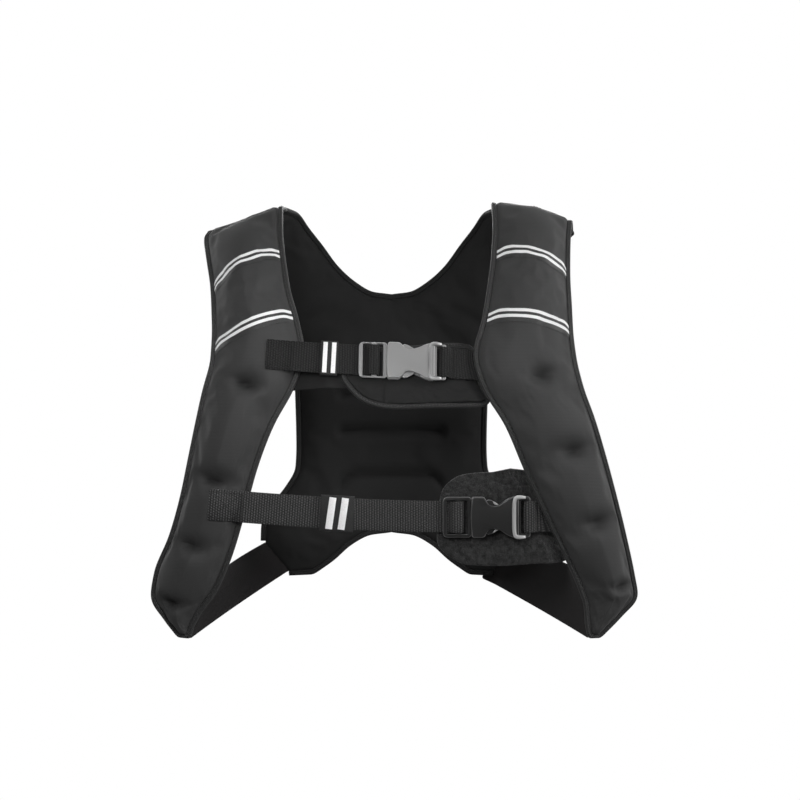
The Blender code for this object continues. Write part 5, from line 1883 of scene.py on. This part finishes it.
def cushion(name, look, node, line, outline, swell, detail):
    """A packed pad remeshed, swollen where nothing lies on it, and given its ridges and seams."""
    obj = piece(name, packed_mesh(node), look, node, smooth=None)
    step = obj.modifiers.new("even", "REMESH")
    step.mode = "VOXEL"
    step.voxel_size = pad_voxel
    smooth = obj.modifiers.new("smooth", "SMOOTH")
    smooth.factor = 0.5
    smooth.iterations = 5
    made = bpy.data.meshes.new_from_object(obj.evaluated_get(bpy.context.evaluated_depsgraph_get()))
    obj.modifiers.clear()
    obj.data = made
    made.shade_smooth()
    spots = read(made.vertices, "co")
    normals = read(made.vertices, "normal")
    turn = np.array(line.frame.to_3x3())
    flat = (spots - np.array(line.frame.translation)) @ turn
    places = flat[:, (0, 2)]
    distance = line_distances(places, outline + outline[:1])
    free = soft_steps((np.abs(places[:, 1]) - webbing_width / 2 - swell_room) / swell_fade)
    facing = soft_steps(-(normals @ turn)[:, 1] * facing_gain)
    rise = swell * soft_steps(distance / swell_rim) * free + detail(places)
    spots -= turn[:, 1] * (rise * facing)[:, None]
    made.vertices.foreach_set("co", spots.ravel())
    made.update()
    pinned = np.nonzero((free < 0.5) | (distance < pad_held))[0]
    inflate(obj, pinned.tolist(), cap=0.0012, pressure=1.0, grow=0.015, frames=8)
    return obj


# The chest pad's ridge: its place, height and width, where it starts below the middle and how softly
ridge_place = 0.0275
ridge_height = 0.0009
ridge_width = 0.0011
ridge_start = 0.020
ridge_fade = 0.003


def chest_detail(places):
    """The upright ridge in the chest pad, under the buckle's left part."""
    x, z = places.T
    ridge = ridge_height * np.exp(-((x - ridge_place) / ridge_width) ** 2)
    return ridge * soft_steps((-z - ridge_start) / ridge_fade)


# The waist pad's pile, in clumps to the metre and their height, and its seam, in x and z
clump_scale = 420.0
clump_layer = 3.0
clump_height = 0.00035
wavy_depth = 0.0012
wavy_width = 0.0013
WAVY_SEAM = (
    (0.004, 0.0240), (0.0217, 0.0288), (0.0320, 0.0310), (0.0420, 0.0345), (0.0520, 0.0360),
    (0.0595, 0.0335), (0.0720, 0.0310), (0.0820, 0.0308), (0.0960, 0.0330),
)


def waist_detail(places):
    """The pile's clumps and the wavy seam near the waist pad's top edge."""
    spots = [Vector((x * clump_scale, clump_layer, z * clump_scale)) for x, z in places]
    clumps = np.array([noise.noise(spot) for spot in spots]) * clump_height
    return clumps - wavy_depth * np.exp(-(line_distances(places, WAVY_SEAM) / wavy_width) ** 2)


pad_tape_share = 0.95
inward = 0.08


def pad_tape(name, line, outline, rim, node):
    """The chest pad's binding, laid along its folded rim."""
    fold = behind_edge(line, outline)
    middle = Vector((sum(x for x, z in rim) / len(rim), sum(z for x, z in rim) / len(rim)))
    turn = line.frame.to_3x3()
    normal = turn @ Vector((0.0, -1.0, 0.0))
    depth = pad_front + pad_thickness / 2
    path = []
    for x, z in rim:
        edge = line.frame @ Vector((x, depth + fold(x, z), z))
        inner = Vector((x, z)).lerp(middle, inward)
        inside = line.frame @ Vector((inner.x, depth + fold(x, z), inner.y))
        path.append((edge, inside, normal))
    thickness = pad_thickness * pad_tape_share
    return tape_round(name, path + path[:2], node, "pad_binding", thickness=thickness)


# Build

FRONT_SURFACES = {side: front_panel_surface(side) for side in SIDES}
BACK_SURFACE = back_panel_surface()
CHEST_LINE = StrapLine(CHEST, chest_sag)
WAIST_LINE = StrapLine(WAIST, waist_sag)

covers = {side: fine_front(side) for side in SIDES}
tapes = {side: fine_front_binding(side) for side in SIDES}
for side in SIDES:
    shoulder_seam(side)
sheet = back_sheet(BACK_SURFACE)
cover_back = fine_back(BACK_SURFACE, sheet)
fine_back_bindings(sheet)
for side in SIDES:
    fine_side_strap(side)
fine_tab()
cover_trees = {side: tree_of(cover) for side, cover in covers.items()}
for tape in TAPES:
    fine_tape(tape, cover_trees[tape.side])
left_tree = tree_of(covers["left"], tapes["left"])
BUCKLES = (
    ("chest", CHEST_LINE, chest_sewn_length, chest_buckle_height, "sheen_painted_plastic", "chest_webbing"),
    ("waist", WAIST_LINE, waist_sewn_length, waist_buckle_height, "plastic", "webbing"),
)
for place, line, sewn_length, height, look, web in BUCKLES:
    fine_strap(place + "_webbing", line, sewn_length, left_tree, web, place + "_strap")
    fine_strap_end(place + "_webbing_end", line, web, place + "_strap_end")
    refined(place + "_sleeve", "elastic", place + "_keeper", line, 0.0003, 2)
    fine_plug(place + "_plug", line, height, look, place + "_buckle_plug")
    fine_socket(place + "_socket", line, height, look, place + "_buckle_socket")
    # The waist buckle's lip is coloured pale as a painted highlight
    fine_lip(place + "_lip", line, height, look if place == "chest" else "highlight_plastic")
    if place == "waist":
        fine_tips("waist_tips", line, "highlight_plastic")
    for number in ("1", "2"):
        node = place + "_reflector_" + number
        refined(place + "_band_" + number, "reflective", node, line, 0.00015, 2)

chest_outline = pad_outline(CHEST_PAD, chest_pad_length, chest_pad_height, chest_pad_shift)
chest_rim = inset(chest_outline, pad_binding_width)
chest_cushion = cushion(
    "chest_cushion", "painted_shade_neoprene", "chest_pad", CHEST_LINE, chest_outline, 0.0018, chest_detail,
)
pad_tape("chest_cushion_tape", CHEST_LINE, chest_outline, chest_rim, "chest_pad_binding")
waist_outline = pad_outline(WAIST_PAD, waist_pad_length, waist_pad_height, waist_pad_shift)
waist_cushion = cushion(
    "waist_cushion", "loop_pile", "waist_pad", WAIST_LINE, waist_outline, 0.0014, waist_detail,
)
for cover in [*covers.values(), cover_back]:
    finer(cover)


# Studio

camera_distance = 3.5
camera_turn = math.radians(0.5)
front_plane = -0.115
view_centre = Vector((0.011, front_plane, -0.204))
view_width = 0.8
floor_level = -1.45
floor_radius = 6.0
floor_glow = 0.62
ambient_strength = 0.18
white = (1.0, 1.0, 1.0, 1.0)

camera_data = bpy.data.cameras.new("camera")
camera_data.sensor_width = 36.0
camera_data.lens = camera_data.sensor_width * camera_distance / view_width
camera_data.clip_end = 100.0
camera = add_object("camera", camera_data)
towards = Vector((math.sin(camera_turn), -math.cos(camera_turn), 0.0))
camera.location = view_centre + camera_distance * towards
camera.rotation_euler = (math.pi / 2, 0.0, camera_turn)
bpy.context.scene.camera = camera

disc = bmesh.new()
bmesh.ops.create_circle(disc, cap_ends=True, segments=96, radius=floor_radius)
floor_mesh = bpy.data.meshes.new("floor")
disc.to_mesh(floor_mesh)
disc.free()
floor_look = Look("floor", 0.9)
floor_look.colours(floor_look.noise(3.0), grey(0.90), grey(0.94))
floor_look.shader.inputs["Emission Color"].default_value = white
floor_look.shader.inputs["Emission Strength"].default_value = floor_glow
floor_mesh.materials.append(floor_look.made)
floor = add_object("floor", floor_mesh)
floor.location.z = floor_level
floor.visible_diffuse = False
floor.visible_glossy = False

world = bpy.data.worlds.new("studio")
world.use_nodes = True
nodes, links = world.node_tree.nodes, world.node_tree.links
shown = nodes["Background"]
ambient = nodes.new("ShaderNodeBackground")
for background, strength in ((shown, 1.0), (ambient, ambient_strength)):
    background.inputs["Color"].default_value = white
    background.inputs["Strength"].default_value = strength
seen_by = nodes.new("ShaderNodeLightPath")
chosen = nodes.new("ShaderNodeMixShader")
links.new(seen_by.outputs["Is Camera Ray"], chosen.inputs["Fac"])
links.new(ambient.outputs["Background"], chosen.inputs[1])
links.new(shown.outputs["Background"], chosen.inputs[2])
links.new(chosen.outputs["Shader"], nodes["World Output"].inputs["Surface"])
bpy.context.scene.world = world
bpy.context.scene.view_settings.view_transform = "Standard"


# Each light's place, target, width and height, and watts
chest = (0.0, -0.1, -0.15)
LIGHTS = {
    "top": ((0.35, -1.15, 1.05), chest, (0.9, 0.6), 4.0),
    "key": ((1.6, -0.7, 0.3), chest, (0.4, 1.2), 16.0),
    "fill": ((-0.10, -0.65, -0.05), (-0.14, -0.1, -0.19), (0.25, 0.25), 2.1),
    "left": ((-1.5, -0.9, 0.5), chest, (0.4, 1.2), 1.0),
    "left_rear": ((-1.5, 1.0, 0.2), chest, (0.5, 1.0), 7.0),
    "right_rear": ((1.5, 1.0, 0.2), chest, (0.5, 1.0), 8.0),
    "back": ((0.0, 1.9, 0.3), chest, (1.4, 0.9), 30.0),
}
for name, (place, target, size, watts) in LIGHTS.items():
    light = bpy.data.lights.new(name, "AREA")
    light.shape = "RECTANGLE"
    light.size, light.size_y = size
    light.energy = watts
    lamp = add_object(name, light)
    lamp.location = place
    lamp.rotation_euler = (Vector(target) - Vector(place)).to_track_quat("-Z", "Y").to_euler()
